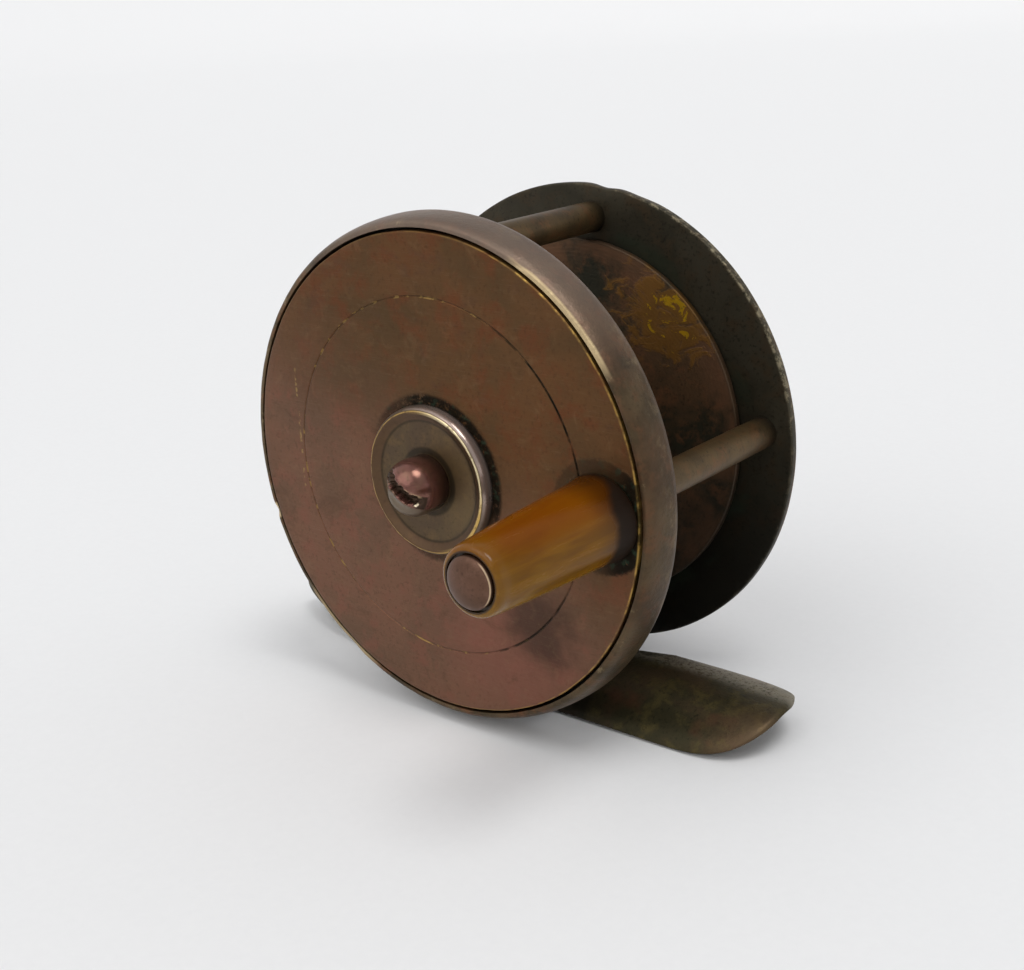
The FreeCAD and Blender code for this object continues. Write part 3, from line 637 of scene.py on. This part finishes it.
# ---------------------------------------------------------------- spool
# Two thin bronze end plates slid over a drum, all turned. Their inner faces are rubbed by
# the line down to yellow metal in a ragged patch, and stained brown and green elsewhere.
FLANGE_R = 27.0
FLANGE_T = 1.0
FLANGE_CLEAR = 0.6
SPINDLE_R = 3.0
DRUM_R = 9.0

spool, at, x, y, z = begun("spool_bronze")
reach = (x * x + z * z) ** 0.5
base, cloud, speck = patina(
    spool, at, [colour(100, 76, 54), colour(56, 54, 42), colour(122, 84, 58), colour(28, 26, 18)], 8.5, 61.0
)
outer = reach.step(21.5, 25.5)
base = spool.mix(outer * cloud.step(0.62, 0.42) * 0.7, base, colour(116, 84, 62))
spread = ((x - 15.5) * (x - 15.5) * 0.6 + (z - 17.0) * (z - 17.0)) ** 0.5
leaning = spool.moved(at, turn=(0, math.radians(38), 0), scale=(0.7, 0.7, 1.1))
torn = spool.noise(leaning, 0.42, 5.0, 0.66, 0.9)
rear_half = y.step(8.0, 12.0)
wear_and_sheen = (torn * 1.7 + spread.step(12.0, 1.0) * 0.6).step(1.12, 1.4) * rear_half
base = spool.mix(wear_and_sheen * 0.6, base, colour(172, 124, 60))
flake = (torn + spread.step(8.0, 0.5) * 0.22).step(0.76, 0.80) * rear_half
base = spool.mix(flake, base, colour(246, 196, 50))
# Painted shade darkens the outer edge of the flanges.
base = spool.mix(reach.step(FLANGE_R - 0.5, FLANGE_R - 0.1) * 0.7, base, colour(52, 44, 32))
# Painted shade: the rear flange darker towards the bottom.
base = spool.mix(z.step(2.0, -12.0) * rear_half * 0.55, base, colour(44, 38, 30))
line_marks = spool.noise(spool.moved(at, scale=(0.05, 0.05, 0.05)), 1.0, 2.0)
rings = spool.rings(at, 0.55, 0.6)
base = spool.mix(rings.step(0.75, 1.0) * line_marks * 0.12, base, colour(46, 40, 28))
relief = spool.bump(rings * 0.1 + torn + wear_and_sheen * 0.4, 0.35, 0.0002)
spool_bronze = spool.surface(
    Base_Color=base, Metallic=(0.66 + wear_and_sheen * 0.25).clip(), Roughness=0.44 + speck * 0.18 - flake * 0.1,
    Normal=relief
)


def disc_wear(seed, lean):
    """A thin disc runs a little out of true: y moves with the radius times two slow waves."""
    def wear(radius, along, angle):
        share = (radius / FLANGE_R) ** 2
        nicks = 0.05 * np.clip(ripple(angle, seed, (19, 31, 47), 0.2), 0, 1)
        out = lean * share * ripple(angle, seed + 1, (1, 2, 3))
        return radius - nicks * (radius > FLANGE_R - 0.4), along + out
    return wear


for name, outer_y, inward, seed in (
    ("front_flange", WEB_BACK_Y + FLANGE_CLEAR, 1, 5), ("rear_flange", BACK_IN_Y - FLANGE_CLEAR, -1, 8)
):
    inner_y = outer_y + inward * FLANGE_T
    collar_y = inner_y + inward * 4.0
    flange_line = softened([
        (SPINDLE_R, outer_y), (FLANGE_R, outer_y), (FLANGE_R, inner_y), (DRUM_R - 1.0, inner_y),
        (DRUM_R - 1.0, collar_y), (SPINDLE_R, collar_y)
    ], [0.1, 0.28, 0.28, 0.1, 0.2, 0.1], 0.9)
    flange_piece = closed_piece(
        name + "_disc", spun(flange_line, 360, wear=disc_wear(seed, 0.06)), "spool",
        spool_bronze
    )
    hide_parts(name)
dress(spool_bronze, "spool_drum")

# ---------------------------------------------------------------- winding plate
# The disc that is turned by the handle and winds the spool: rolled bronze, faced flat, with
# one fine circle scribed on it. Brown-red tarnish, dirt in the line, edge rubbed to brass.
# Painted light: the lower part lighter as a reflection of the floor, a highlight on the
# edge line where it faces the light, and shadow beside the handle's root.
WINDING_FACE_Y, WINDING_BACK_Y = -19.65, -18.15
WINDING_R = 33.0
SCRIBE_R = 24.6
BOSS_R = 10.3
GRIP_X, GRIP_Z = 27.299, -0.191

plate, at, x, y, z = begun("plate_bronze")
reach = (x * x + z * z) ** 0.5
low, cloud, speck = patina(
    plate, at,
    [colour(114, 83, 66), colour(102, 78, 62), colour(120, 80, 65), colour(88, 64, 50)], 13.0, 2.0
)
high, high_cloud = patina(
    plate, at,
    [colour(96, 68, 44), colour(84, 64, 43), colour(100, 60, 38), colour(74, 51, 34)], 14.0, 71.0
)[:2]
# Lighter towards the bottom and left: partly tone, partly a painted reflection of the pale floor.
upward = (z * 0.9 + x * 0.45 + plate.noise(at, 0.06, 4.0) * 16.0 - 8.0).step(-10.0, 14.0)
base = plate.mix(upward, low, high)
blush = ((x - 12.0) ** 2.0 * 0.5 + (z + 22.0) ** 2.0) ** 0.5
base = plate.mix(blush.step(13.0, 2.0) * 0.5, base, colour(132, 84, 72))
dark_spot = (((x - 17.0) ** 2.0 + (z + 17.5) ** 2.0) ** 0.5 + plate.noise(at, 0.25, 4.0) * 9.0 - 4.5)
base = plate.mix(dark_spot.step(8.5, 1.5) * 0.75, base, colour(60, 48, 40))
smoke = plate.noise(plate.moved(at, turn=(0, 0.6, 0), scale=(0.5, 1.0, 1.0)), 0.16, 6.0, 0.65, 1.6)
base = plate.mix(smoke.step(0.54, 0.68) * 0.4, base, colour(84, 62, 48))
sheen = plate.noise(at, 0.35, 5.0, 0.7, 0.8)
base = plate.mix(sheen.step(0.52, 0.72) * 0.16, base, colour(136, 108, 80))
scratch = hairlines(plate, at, 35, 1.0) + hairlines(plate, at, -12, 4.0, 0.6)
scratch = (scratch + hairlines(plate, at, 80, 7.0, 0.62)).clip()
base = plate.mix(scratch * 0.09 * speck.step(0.4, 0.62), base, colour(150, 124, 98))
broken = plate.noise(at, 0.55, 3.0, 0.6)
groove = reach.band(SCRIBE_R, 0.12, 0.1) * y.step(WINDING_FACE_Y + 0.4, WINDING_FACE_Y + 0.3)
dark_part = toward(x, z, reach, 22).step(0.55, 0.9).most(toward(x, z, reach, -48).step(0.9, 0.98) * 0.8)
dark_groove = dark_part * 0.7 * broken.step(0.3, 0.5) + broken.step(0.4, 0.6) * 0.3
base = plate.mix(groove * dark_groove.clip(), base, colour(30, 26, 17))
gold_part = groove * (1.0 - dark_part) * broken.step(0.54, 0.62)
base = plate.mix(gold_part * 0.5, base, colour(170, 138, 80))
second = (x + 25.2).band(0.0, 0.06, 0.22) * z.band(3.0, 7.5, 3.0)
second = second * plate.noise(at, 1.3, 2.0).step(0.5, 0.62)
base = plate.mix(second * 0.45, base, colour(176, 148, 90))
ring = reach.band(BOSS_R + 0.5, 0.45, 0.75)
around = toward(x, z, reach, 38).step(0.15, 0.75) + toward(x, z, reach, 118).step(0.8, 0.98) * 0.5
around = (around + toward(x, z, reach, 262).step(0.9, 0.99) * 0.45 + 0.1).clip()
crumbs = plate.noise(at, 1.3, 5.0, 0.75)
boss_dirt = ring * around * crumbs.step(0.30, 0.5)
grip_x, grip_z = x - GRIP_X, z - GRIP_Z
grip_reach = (grip_x * grip_x + grip_z * grip_z) ** 0.5
# Dark ring round the handle's root, heavier on its right: dirt, and a painted shadow of the grip.
grip_dirt_and_shadow = (grip_reach + crumbs * 1.4 - 0.7).band(6.2, 1.0, 0.6) * crumbs.step(0.25, 0.4)
grip_dirt_and_shadow = grip_dirt_and_shadow * (0.35 + toward(grip_x, grip_z, grip_reach, -10).step(-0.1, 0.6) * 0.65)
dirt_and_shade = (boss_dirt + grip_dirt_and_shadow).clip()
front_face = y.step(WINDING_FACE_Y + 0.5, WINDING_FACE_Y + 0.3)
base = plate.mix(dirt_and_shade * front_face * 0.93, base, GRIME_AND_SHADE)
green = dirt_and_shade * plate.noise(at, 0.9, 4.0).step(0.54, 0.66) * front_face
base = plate.mix(green * 0.7, base, VERDIGRIS)
# Edge line rubbed to brass, and brighter where lit: a painted highlight on top of the wear.
rim_line = reach.step(WINDING_R - 0.32, WINDING_R - 0.08) * (0.15 + broken.step(0.42, 0.6) * 0.85)
lit = toward(x, z, reach, -25).step(0.25, 0.8).most(toward(x, z, reach, 45).step(0.85, 0.97))
rim_line = rim_line * (0.2 + lit * 0.8).clip()
base = plate.mix(rim_line * 0.6, base, BRASS)
relief = plate.bump(cloud * 1.4 + crumbs * dirt_and_shade * 1.5 + smoke * 0.5 - scratch * 0.04, 0.3, 0.00035)
plate_bronze = plate.surface(
    Base_Color=base, Metallic=(0.72 + rim_line * 0.2 - dirt_and_shade * 0.12).clip(),
    Roughness=(0.36 + high_cloud * 0.16 + dirt_and_shade * 0.3 - rim_line * 0.1).clip(), Normal=relief,
    Specular_IOR_Level=0.18
)


def plate_line():
    """Plate section: the scribed circle is a small V with softened shoulders."""
    corners = [
        (4.9, WINDING_FACE_Y), (SCRIBE_R - 0.16, WINDING_FACE_Y), (SCRIBE_R, WINDING_FACE_Y + 0.13),
        (SCRIBE_R + 0.16, WINDING_FACE_Y), (WINDING_R, WINDING_FACE_Y), (WINDING_R, WINDING_BACK_Y),
        (4.9, WINDING_BACK_Y)
    ]
    return softened(corners, [0.05, 0.05, 0.04, 0.05, 0.26, 0.2, 0.05], 1.2)


def plate_wear(radius, along, angle):
    """The disc is very slightly dished and uneven, by a few hundredths, and its edge has
    small knocks that push it in."""
    share = np.clip(radius / WINDING_R, 0, 1) ** 3
    knock = 0.07 * np.clip(ripple(angle, 31, (13, 22, 35, 61), 0.3), 0, 1) + 0.12 * near(angle, 197, 1.1)
    inward = share * 0.03 * (1 + ripple(angle, 32, (1, 2, 3, 5)))
    return radius - knock * (radius > WINDING_R - 0.4), along + inward


plate_piece = closed_piece(
    "winding_disc", spun(plate_line(), 480, wear=plate_wear), "spool", plate_bronze
)
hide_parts("winding_plate")

# ---------------------------------------------------------------- boss
# A turned brass boss riveted through the winding plate: a thin ridge, bright from wear,
# slopes down to a flat floor that has gone olive brown. The outer wall, the ridge and the
# floor carry painted highlights on their right-hand side.
BOSS_TOP_Y = -21.55
DISH_R = 8.4
DISH_FLOOR_Y = -20.75

boss, at, x, y, z = begun("boss_brass")
reach = (x * x + z * z) ** 0.5
base, cloud, speck = patina(
    boss, at, [colour(90, 75, 54), colour(84, 68, 52), colour(102, 82, 56), colour(44, 36, 24)], 5.0, 83.0
)
# Painted highlight on the boss's outer wall, strongest towards the upper right.
wall = reach.step(9.86, 9.96)
wall = wall * (0.25 + toward(x, z, reach, 42).step(0.3, 0.95) * 0.75)
base = boss.mix(wall * 0.85, base, colour(178, 158, 148))
slope = reach.step(8.3, 8.6) * reach.step(9.9, 9.7)
base = boss.mix(slope * 0.6, base, colour(92, 68, 50))
floor_ring = reach.band(8.35, 0.05, 0.22)
base = boss.mix(floor_ring * 0.6, base, colour(46, 38, 26))
lit_floor = reach.step(8.2, 7.6) * toward(x, z, reach, 5).step(0.0, 0.9)
base = boss.mix(lit_floor * 0.4, base, colour(112, 92, 62))
rub = boss.noise(at, 0.7, 4.0, 0.7)
# The ridge is worn bright all round; it is brighter and whiter on the right as a painted highlight over the
# wear.
right_side = toward(x, z, reach, 12).step(-0.1, 0.75)
ridge = reach.band(9.74, 0.05, 0.08) * (0.6 + right_side * 0.4) * rub.step(0.28, 0.5)
inner_ridge = reach.band(9.5, 0.06, 0.16) * right_side * rub.step(0.3, 0.5)
shine = (ridge + inner_ridge).clip() * y.step(BOSS_TOP_Y + 0.5, BOSS_TOP_Y + 0.25)
worn_gold_and_glint = boss.mix(toward(x, z, reach, 40).step(0.5, 0.9), colour(206, 170, 100), colour(238, 220, 176))
base = boss.mix(shine * 0.95, base, worn_gold_and_glint)
shadow = reach.band(4.3, 0.2, 0.5) * y.band(DISH_FLOOR_Y, 0.1, 0.1) * (0.5 + cloud)
base = boss.mix(shadow.clip() * 0.75, base, colour(36, 30, 20))
foot_dirt = y.step(WINDING_FACE_Y - 0.55, WINDING_FACE_Y - 0.1) * reach.step(10.0, 10.2)
base = boss.mix(foot_dirt * 0.8, base, GRIME_AND_SHADE)
relief = boss.bump(rub * 0.5 + cloud, 0.25, 0.00018)
boss_brass = boss.surface(
    Base_Color=base, Metallic=(0.72 + shine * 0.28).clip(),
    Roughness=(0.40 + speck * 0.1 - shine * 0.18 - wall * 0.25).clip(), Normal=relief
)
boss_line = softened([
    (0.0, DISH_FLOOR_Y), (DISH_R, DISH_FLOOR_Y), (9.4, BOSS_TOP_Y + 0.14), (9.65, BOSS_TOP_Y),
    (9.82, BOSS_TOP_Y + 0.03), (BOSS_R - 0.08, BOSS_TOP_Y + 0.62), (BOSS_R, WINDING_FACE_Y),
    (5.0, WINDING_FACE_Y), (5.0, WINDING_BACK_Y), (6.2, WINDING_BACK_Y), (6.2, WINDING_BACK_Y + 0.5),
    (0.0, WINDING_BACK_Y + 0.5)
], [0, 0.5, 0.2, 0.1, 0.1, 0.35, 0.05, 0.05, 0.05, 0.1, 0.15, 0], 0.35, closed=False)


def boss_wear(radius, along, angle):
    """The ridge is worn unevenly: it dips and leans by a few hundredths round the turn."""
    top = np.exp(-((along - BOSS_TOP_Y) / 0.3) ** 2) * (radius > 9)
    fine = ripple(angle, 42, (9, 17, 29, 43), 0.5)
    return radius - top * 0.05 * (1 + fine), along + top * 0.04 * (1 + ripple(angle, 41) + fine)


boss_piece = closed_piece(
    "dished_boss", spun(boss_line, 300, wear=boss_wear), "spool", boss_brass, wrap_v=False
)
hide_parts("plate_boss")
dress(boss_brass, "front_bush", "rear_bush", "ratchet_nut")

# ---------------------------------------------------------------- locking screw
# The screw that holds the winding plate on the spindle's square: a tall domed bronze head.
# Its slot has been opened and torn by bad screwdrivers, and the jaw below it pressed down.
LOCK_HEAD_R = 3.95
LOCK_SKIRT = 2.7
LOCK_DOME = 3.8
SLOT_FLOOR = 4.7
SLOT_TURN = math.radians(-30)
SLOT_OFF = -0.55
BURR_ALONG, BURR_ACROSS = 2.75, 0.05


def lock_screw_grid():
    """A half ball on a short round stem, in rings from the top: at each step of a quarter
    turn the radius goes as its sine and the height as its cosine. The slot lowers the
    height to its floor along a line over the top; its half width narrows from one end to
    the other and its sides waver. Below it the metal is pressed down and dented, and a
    small burr stands at one end."""
    rise = np.linspace(0, math.pi / 2, 165)[None, :]
    angle = np.linspace(0, 2 * math.pi, 480, endpoint=False)[:, None]
    r = LOCK_HEAD_R * np.sin(rise) + 0 * angle
    u, v = r * np.cos(angle), r * np.sin(angle)
    height = LOCK_SKIRT + LOCK_DOME * np.cos(rise) + 0 * angle
    along_slot = u * math.cos(SLOT_TURN) + v * math.sin(SLOT_TURN)
    across = -u * math.sin(SLOT_TURN) + v * math.cos(SLOT_TURN)
    jag = 0.09 * np.sin(along_slot * 2.9 + 0.6) + 0.06 * np.sin(along_slot * 6.3)
    jag = jag + 0.03 * np.sin(along_slot * 12.7 + 2)
    half = 0.80 - 0.07 * along_slot + jag * np.where(across > 0, 1.0, -1.5)
    below = 1 / (1 + np.exp((across + 0.75 + 0.5 * jag) / 0.3))
    dent = np.exp(-(((along_slot + 0.9) / 2.4) ** 2 + ((across + 1.2) / 1.0) ** 2))
    height = height - 0.30 * below * np.cos(rise) - 0.55 * dent
    trench = 1 / (1 + np.exp((np.abs(across + SLOT_OFF) - half) / 0.07))
    rough = 0.10 * np.sin(along_slot * 4.3 + across * 3.0) + 0.06 * np.sin(across * 9 - along_slot * 6)
    height = height + (np.minimum(height, SLOT_FLOOR + rough) - height) * trench
    burr = np.exp(-(((along_slot - BURR_ALONG) / 0.22) ** 2 + ((across - BURR_ACROSS) / 0.2) ** 2))
    height = height + 0.30 * burr
    turn_in = 1 - 0.012 * (1 + ripple(angle, 61, (2, 3, 5)))
    top = np.stack([u * turn_in, DISH_FLOOR_Y - height, v * turn_in + axis_height / MM], -1)
    stem_height = np.array([2.2, 1.4, 0.7, 0.25, 0.08, -0.02])[None, :]
    stem_r = np.array([1.0, 0.99, 0.985, 0.985, 0.97, 0.96])[None, :] * LOCK_HEAD_R * turn_in
    stem = np.stack([
        stem_r * np.cos(angle), DISH_FLOOR_Y - stem_height + 0 * angle,
        stem_r * np.sin(angle) + axis_height / MM
    ], -1)
    centre = stem[:, -1:] * 0 + np.array([0.0, DISH_FLOOR_Y + 0.02, axis_height / MM])
    return np.concatenate([top, stem, centre], 1)


screw, at, x, y, z = begun("lock_screw_bronze")
base, cloud, speck = patina(
    screw, at,
    [colour(128, 88, 80), colour(112, 76, 66), colour(120, 90, 74), colour(56, 40, 32)], 3.4, 91.0
)
height = y * -1.0 + DISH_FLOOR_Y
along_slot = x * math.cos(SLOT_TURN) + z * math.sin(SLOT_TURN)
across = x * -math.sin(SLOT_TURN) + z * math.cos(SLOT_TURN)
jaw = across.step(-0.25, -0.7)
base = screw.mix(jaw * 0.85, base, colour(104, 94, 76))
# Painted shade inside the slot.
in_slot = (across + SLOT_OFF).size().step(1.1, 0.86) * height.step(5.6, 5.0) * height.step(3.9, 4.3)
base = screw.mix(in_slot * 0.85, base, colour(50, 42, 28))
scuff = screw.noise(at, 1.8, 4.0, 0.7)
torn = scuff.step(0.42, 0.56) * across.band(1.42, 0.08, 0.16) * height.step(4.6, 5.2)
base = screw.mix(torn * 0.7, base, colour(178, 150, 118))
chip = along_slot.band(BURR_ALONG, 0.12, 0.12) * across.band(BURR_ACROSS, 0.12, 0.12)
chip = chip * height.step(4.0, 4.6)
base = screw.mix(chip, base, colour(244, 228, 196))
# Painted shade: the lower sides of the head darkened.
stem = height.step(2.9, 0.9)
base = screw.mix(stem * 0.75, base, colour(50, 38, 27))
relief = screw.bump(speck * 0.6 + cloud + scuff * in_slot, 0.22, 0.00012)
lock_bronze = screw.surface(
    Base_Color=base, Metallic=(0.72 + chip * 0.28).clip(),
    Roughness=(0.18 + speck * 0.08 + in_slot * 0.3 + jaw * 0.1).clip(), Normal=relief
)
lock_piece = closed_piece(
    "lock_screw", lock_screw_grid(), "spool", lock_bronze, wrap_v=False
)
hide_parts("locking_screw")

# ---------------------------------------------------------------- handle
# A tapered grip turned from pale horn, polished and gone amber, that spins on a steel pin.
# A small domed bronze cap closes the recess in its end.
GRIP_BACK_Y = -19.85
GRIP_LENGTH = 24.4
GRIP_END_Y = GRIP_BACK_Y - GRIP_LENGTH
MOUTH_R = 3.5
PIN_HOLE_R = 2.04
CAP_R = 3.2
CAP_SEAT_Y = GRIP_END_Y + 0.3

horn, at, x, y, z = begun("amber_horn")
grain = horn.noise(horn.moved(at, scale=(0.9, 0.07, 0.9)), 0.9, 5.0, 0.6, 0.5)
broad = horn.noise(horn.moved(at, (3, 8, 1), scale=(0.6, 0.18, 0.6)), 0.35, 3.0, 0.5)
base = horn.mix(grain.step(0.35, 0.66), colour(98, 64, 0), colour(116, 78, 1))
base = horn.mix(broad.step(0.42, 0.62) * 0.7, base, colour(124, 90, 6))
height = z - GRIP_Z
# Darker orange along the top of the grip: a painted reflection of a dark surrounding.
dark_top_reflection = (height + broad * 3.0).step(2.0, 6.0)
base = horn.mix(dark_top_reflection * 0.75, base, colour(112, 56, 0))
root = y.step(GRIP_BACK_Y - 8.5, GRIP_BACK_Y - 1.5) * (0.45 + broad)
base = horn.mix(root.clip() * 0.9, base, colour(58, 32, 6))
tip = y.step(GRIP_END_Y + 4.5, GRIP_END_Y + 0.5)
base = horn.mix(tip * 0.45, base, colour(112, 78, 14))
grip_x = x - GRIP_X
grip_reach = (grip_x * grip_x + height * height) ** 0.5
under = grip_x * 0.9 - height * 0.45
# Darkest at the root by the plate, reaching further along on the lower side.
dark_near_plate = y + under.step(-2.0, 4.5) * 3.0 + grain * 1.2 + broad * 1.6
dark_near_plate = dark_near_plate.step(GRIP_BACK_Y - 0.4, GRIP_BACK_Y + 1.4)
base = horn.mix(dark_near_plate * 0.95, base, colour(27, 18, 8))
# Painted shade round the recess at the end, where the cap sits.
mouth = y.step(GRIP_END_Y + 1.5, GRIP_END_Y + 0.8) * grip_reach.step(MOUTH_R + 0.35, MOUTH_R + 0.1)
base = horn.mix(mouth * 0.85, base, colour(30, 20, 12))
shoulder = y.step(GRIP_END_Y + 2.2, GRIP_END_Y + 1.2) * 0.28
relief = horn.bump(grain + broad * 2.0, 0.12, 0.0003)
amber_horn = horn.surface(
    Base_Color=base, Roughness=0.2 + grain * 0.12 + dark_near_plate * 0.3, Specular_IOR_Level=0.12,
    Coat_Weight=shoulder, Coat_Roughness=0.12, Subsurface_Weight=0.12,
    Subsurface_Radius=(1.0, 0.45, 0.12), Subsurface_Scale=0.0016, IOR=1.54, Normal=relief
)
grip_line = softened([
    (PIN_HOLE_R, GRIP_BACK_Y), (5.75, GRIP_BACK_Y), (5.7, GRIP_BACK_Y - 0.9), (5.45, GRIP_BACK_Y - 2.7),
    (5.2, GRIP_BACK_Y - 9.0), (4.88, GRIP_BACK_Y - 17.0), (4.52, GRIP_END_Y + 1.2),
    (4.3, GRIP_END_Y + 0.3), (3.75, GRIP_END_Y), (MOUTH_R, GRIP_END_Y + 0.05),
    (MOUTH_R, GRIP_END_Y + 0.5), (PIN_HOLE_R, GRIP_END_Y + 0.5)
], [0.1, 0.3, 0.5, 1.2, 2.5, 2.5, 0.9, 0.45, 0.3, 0.04, 0.05, 0.05], 0.6)


def grip_wear(radius, along, angle):
    """Hand wear leaves the grip a few hundredths out of round."""
    return radius * (1 - 0.006 * (1 + ripple(angle, 51, (2, 3)))), along


grip_piece = closed_piece(
    "horn_grip", spun(grip_line, 200, GRIP_X, GRIP_Z, grip_wear), "grip", amber_horn
)
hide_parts("handle_grip")

cap, at, x, y, z = begun("cap_bronze")
base, cloud, speck = patina(
    cap, at, [colour(100, 72, 58), colour(88, 64, 50), colour(108, 80, 66), colour(62, 45, 36)], 5.0, 14.0
)
cap_x, cap_z = x - GRIP_X, z - GRIP_Z
cap_reach = (cap_x * cap_x + cap_z * cap_z) ** 0.5
# Painted highlight along the cap's edge on the right.
edge = cap_reach.band(CAP_R - 0.08, 0.03, 0.05) * toward(cap_x, cap_z, cap_reach, 5).step(0.5, 0.9)
base = cap.mix(edge * 0.8, base, colour(206, 180, 146))
# Painted shade on the cap's side, down in the recess.
side = y.step(CAP_SEAT_Y - 0.05, CAP_SEAT_Y + 0.15)
base = cap.mix(side * 0.8, base, colour(26, 20, 14))
relief = cap.bump(cloud + speck * 0.2, 0.2, 0.0001)
cap_bronze = cap.surface(Base_Color=base, Metallic=0.7, Roughness=0.34 + speck * 0.14, Normal=relief)
cap_line = softened([
    (0.0, CAP_SEAT_Y - 1.4), (1.1, CAP_SEAT_Y - 1.34), (2.1, CAP_SEAT_Y - 1.12),
    (2.85, CAP_SEAT_Y - 0.80), (CAP_R, CAP_SEAT_Y - 0.5), (CAP_R, CAP_SEAT_Y), (0.0, CAP_SEAT_Y)
], [0, 0.6, 0.6, 0.4, 0.15, 0.05, 0], 0.3, closed=False)
cap_piece = closed_piece(
    "grip_cap", spun(cap_line, 160, GRIP_X, GRIP_Z), "spool", cap_bronze, wrap_v=False
)
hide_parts("handle_cap")

# ---------------------------------------------------------------- click check
# Behind the back plate a pressed and turned bronze cover hides the click: a star wheel on
# the spindle, a pawl on a stud and a leaf spring, all of steel. Small screws hold it all.
COVER_R = 18.0
COVER_FACE_Y = 20.9
COVER_HUB_R = 3.5

cover, at, x, y, z = begun("cover_bronze")
reach = (x * x + z * z) ** 0.5
base, cloud, speck = patina(
    cover, at, [colour(86, 66, 48), colour(72, 56, 42), colour(104, 72, 52), colour(34, 27, 18)], 8.0, 55.0
)
rub = cover.noise(at, 0.6, 5.0, 0.72)
corner = reach.band(COVER_R, 0.2, 0.4) * y.step(COVER_FACE_Y - 1.0, COVER_FACE_Y)
corner = corner * rub.step(0.40, 0.66) * 0.7
hub_edge = reach.band(COVER_HUB_R, 0.12, 0.2) * y.step(COVER_FACE_Y + 0.5, COVER_FACE_Y + 0.8)
base = cover.mix((corner * 0.7 + hub_edge * 0.8).clip(), base, colour(178, 144, 88))
lathe = cover.rings(at, 1.1, 0.4)
base = cover.mix(lathe.step(0.7, 1.0) * 0.1, base, colour(44, 36, 25))
root = reach.band(COVER_R + 0.6, 0.15, 0.6) * y.step(18.2, 17.0)
base = cover.mix(root * 0.8, base, GRIME_AND_SHADE)
scratch = (hairlines(cover, at, 15, 2.0) + hairlines(cover, at, -40, 6.0, 0.6)).clip()
base = cover.mix(scratch * 0.12, base, colour(150, 124, 88))
relief = cover.bump(lathe * 0.12 + cloud + rub * 0.3, 0.3, 0.0002)
cover_bronze = cover.surface(
    Base_Color=base, Metallic=(0.7 + corner * 0.25).clip(), Roughness=0.38 + speck * 0.16, Normal=relief
)
dress(cover_bronze, "check_housing")

heads, at, x, y, z = begun("screw_bronze")
base, cloud, speck = patina(
    heads, at, [colour(110, 84, 58), colour(92, 70, 50), colour(128, 100, 64), colour(36, 28, 18)], 2.4, 8.0
)
base = heads.mix(y.step(17.0, 17.3) * cloud.step(0.45, 0.6) * 0.5, base, BRASS)
relief = heads.bump(speck + cloud, 0.25, 0.0001)
screw_bronze = heads.surface(Base_Color=base, Metallic=0.78, Roughness=0.34 + speck * 0.16, Normal=relief)
dress(screw_bronze, "pillar_screws", "housing_screws", "foot_screws")

steel = Finish("old_steel")
at = steel.place()
rust, cloud, speck = patina(
    steel, at, [colour(86, 82, 76), colour(70, 66, 60), colour(92, 66, 46), colour(38, 32, 26)], 3.5, 17.0
)
relief = steel.bump(speck + cloud, 0.3, 0.0001)
old_steel = steel.surface(Base_Color=rust, Metallic=0.8, Roughness=0.36 + speck * 0.25, Normal=relief)
dress(
    old_steel, "spindle", "drum_pin", "handle_pin", "ratchet_wheel", "check_pawl", "pawl_stud",
    "check_spring", "spring_post"
)
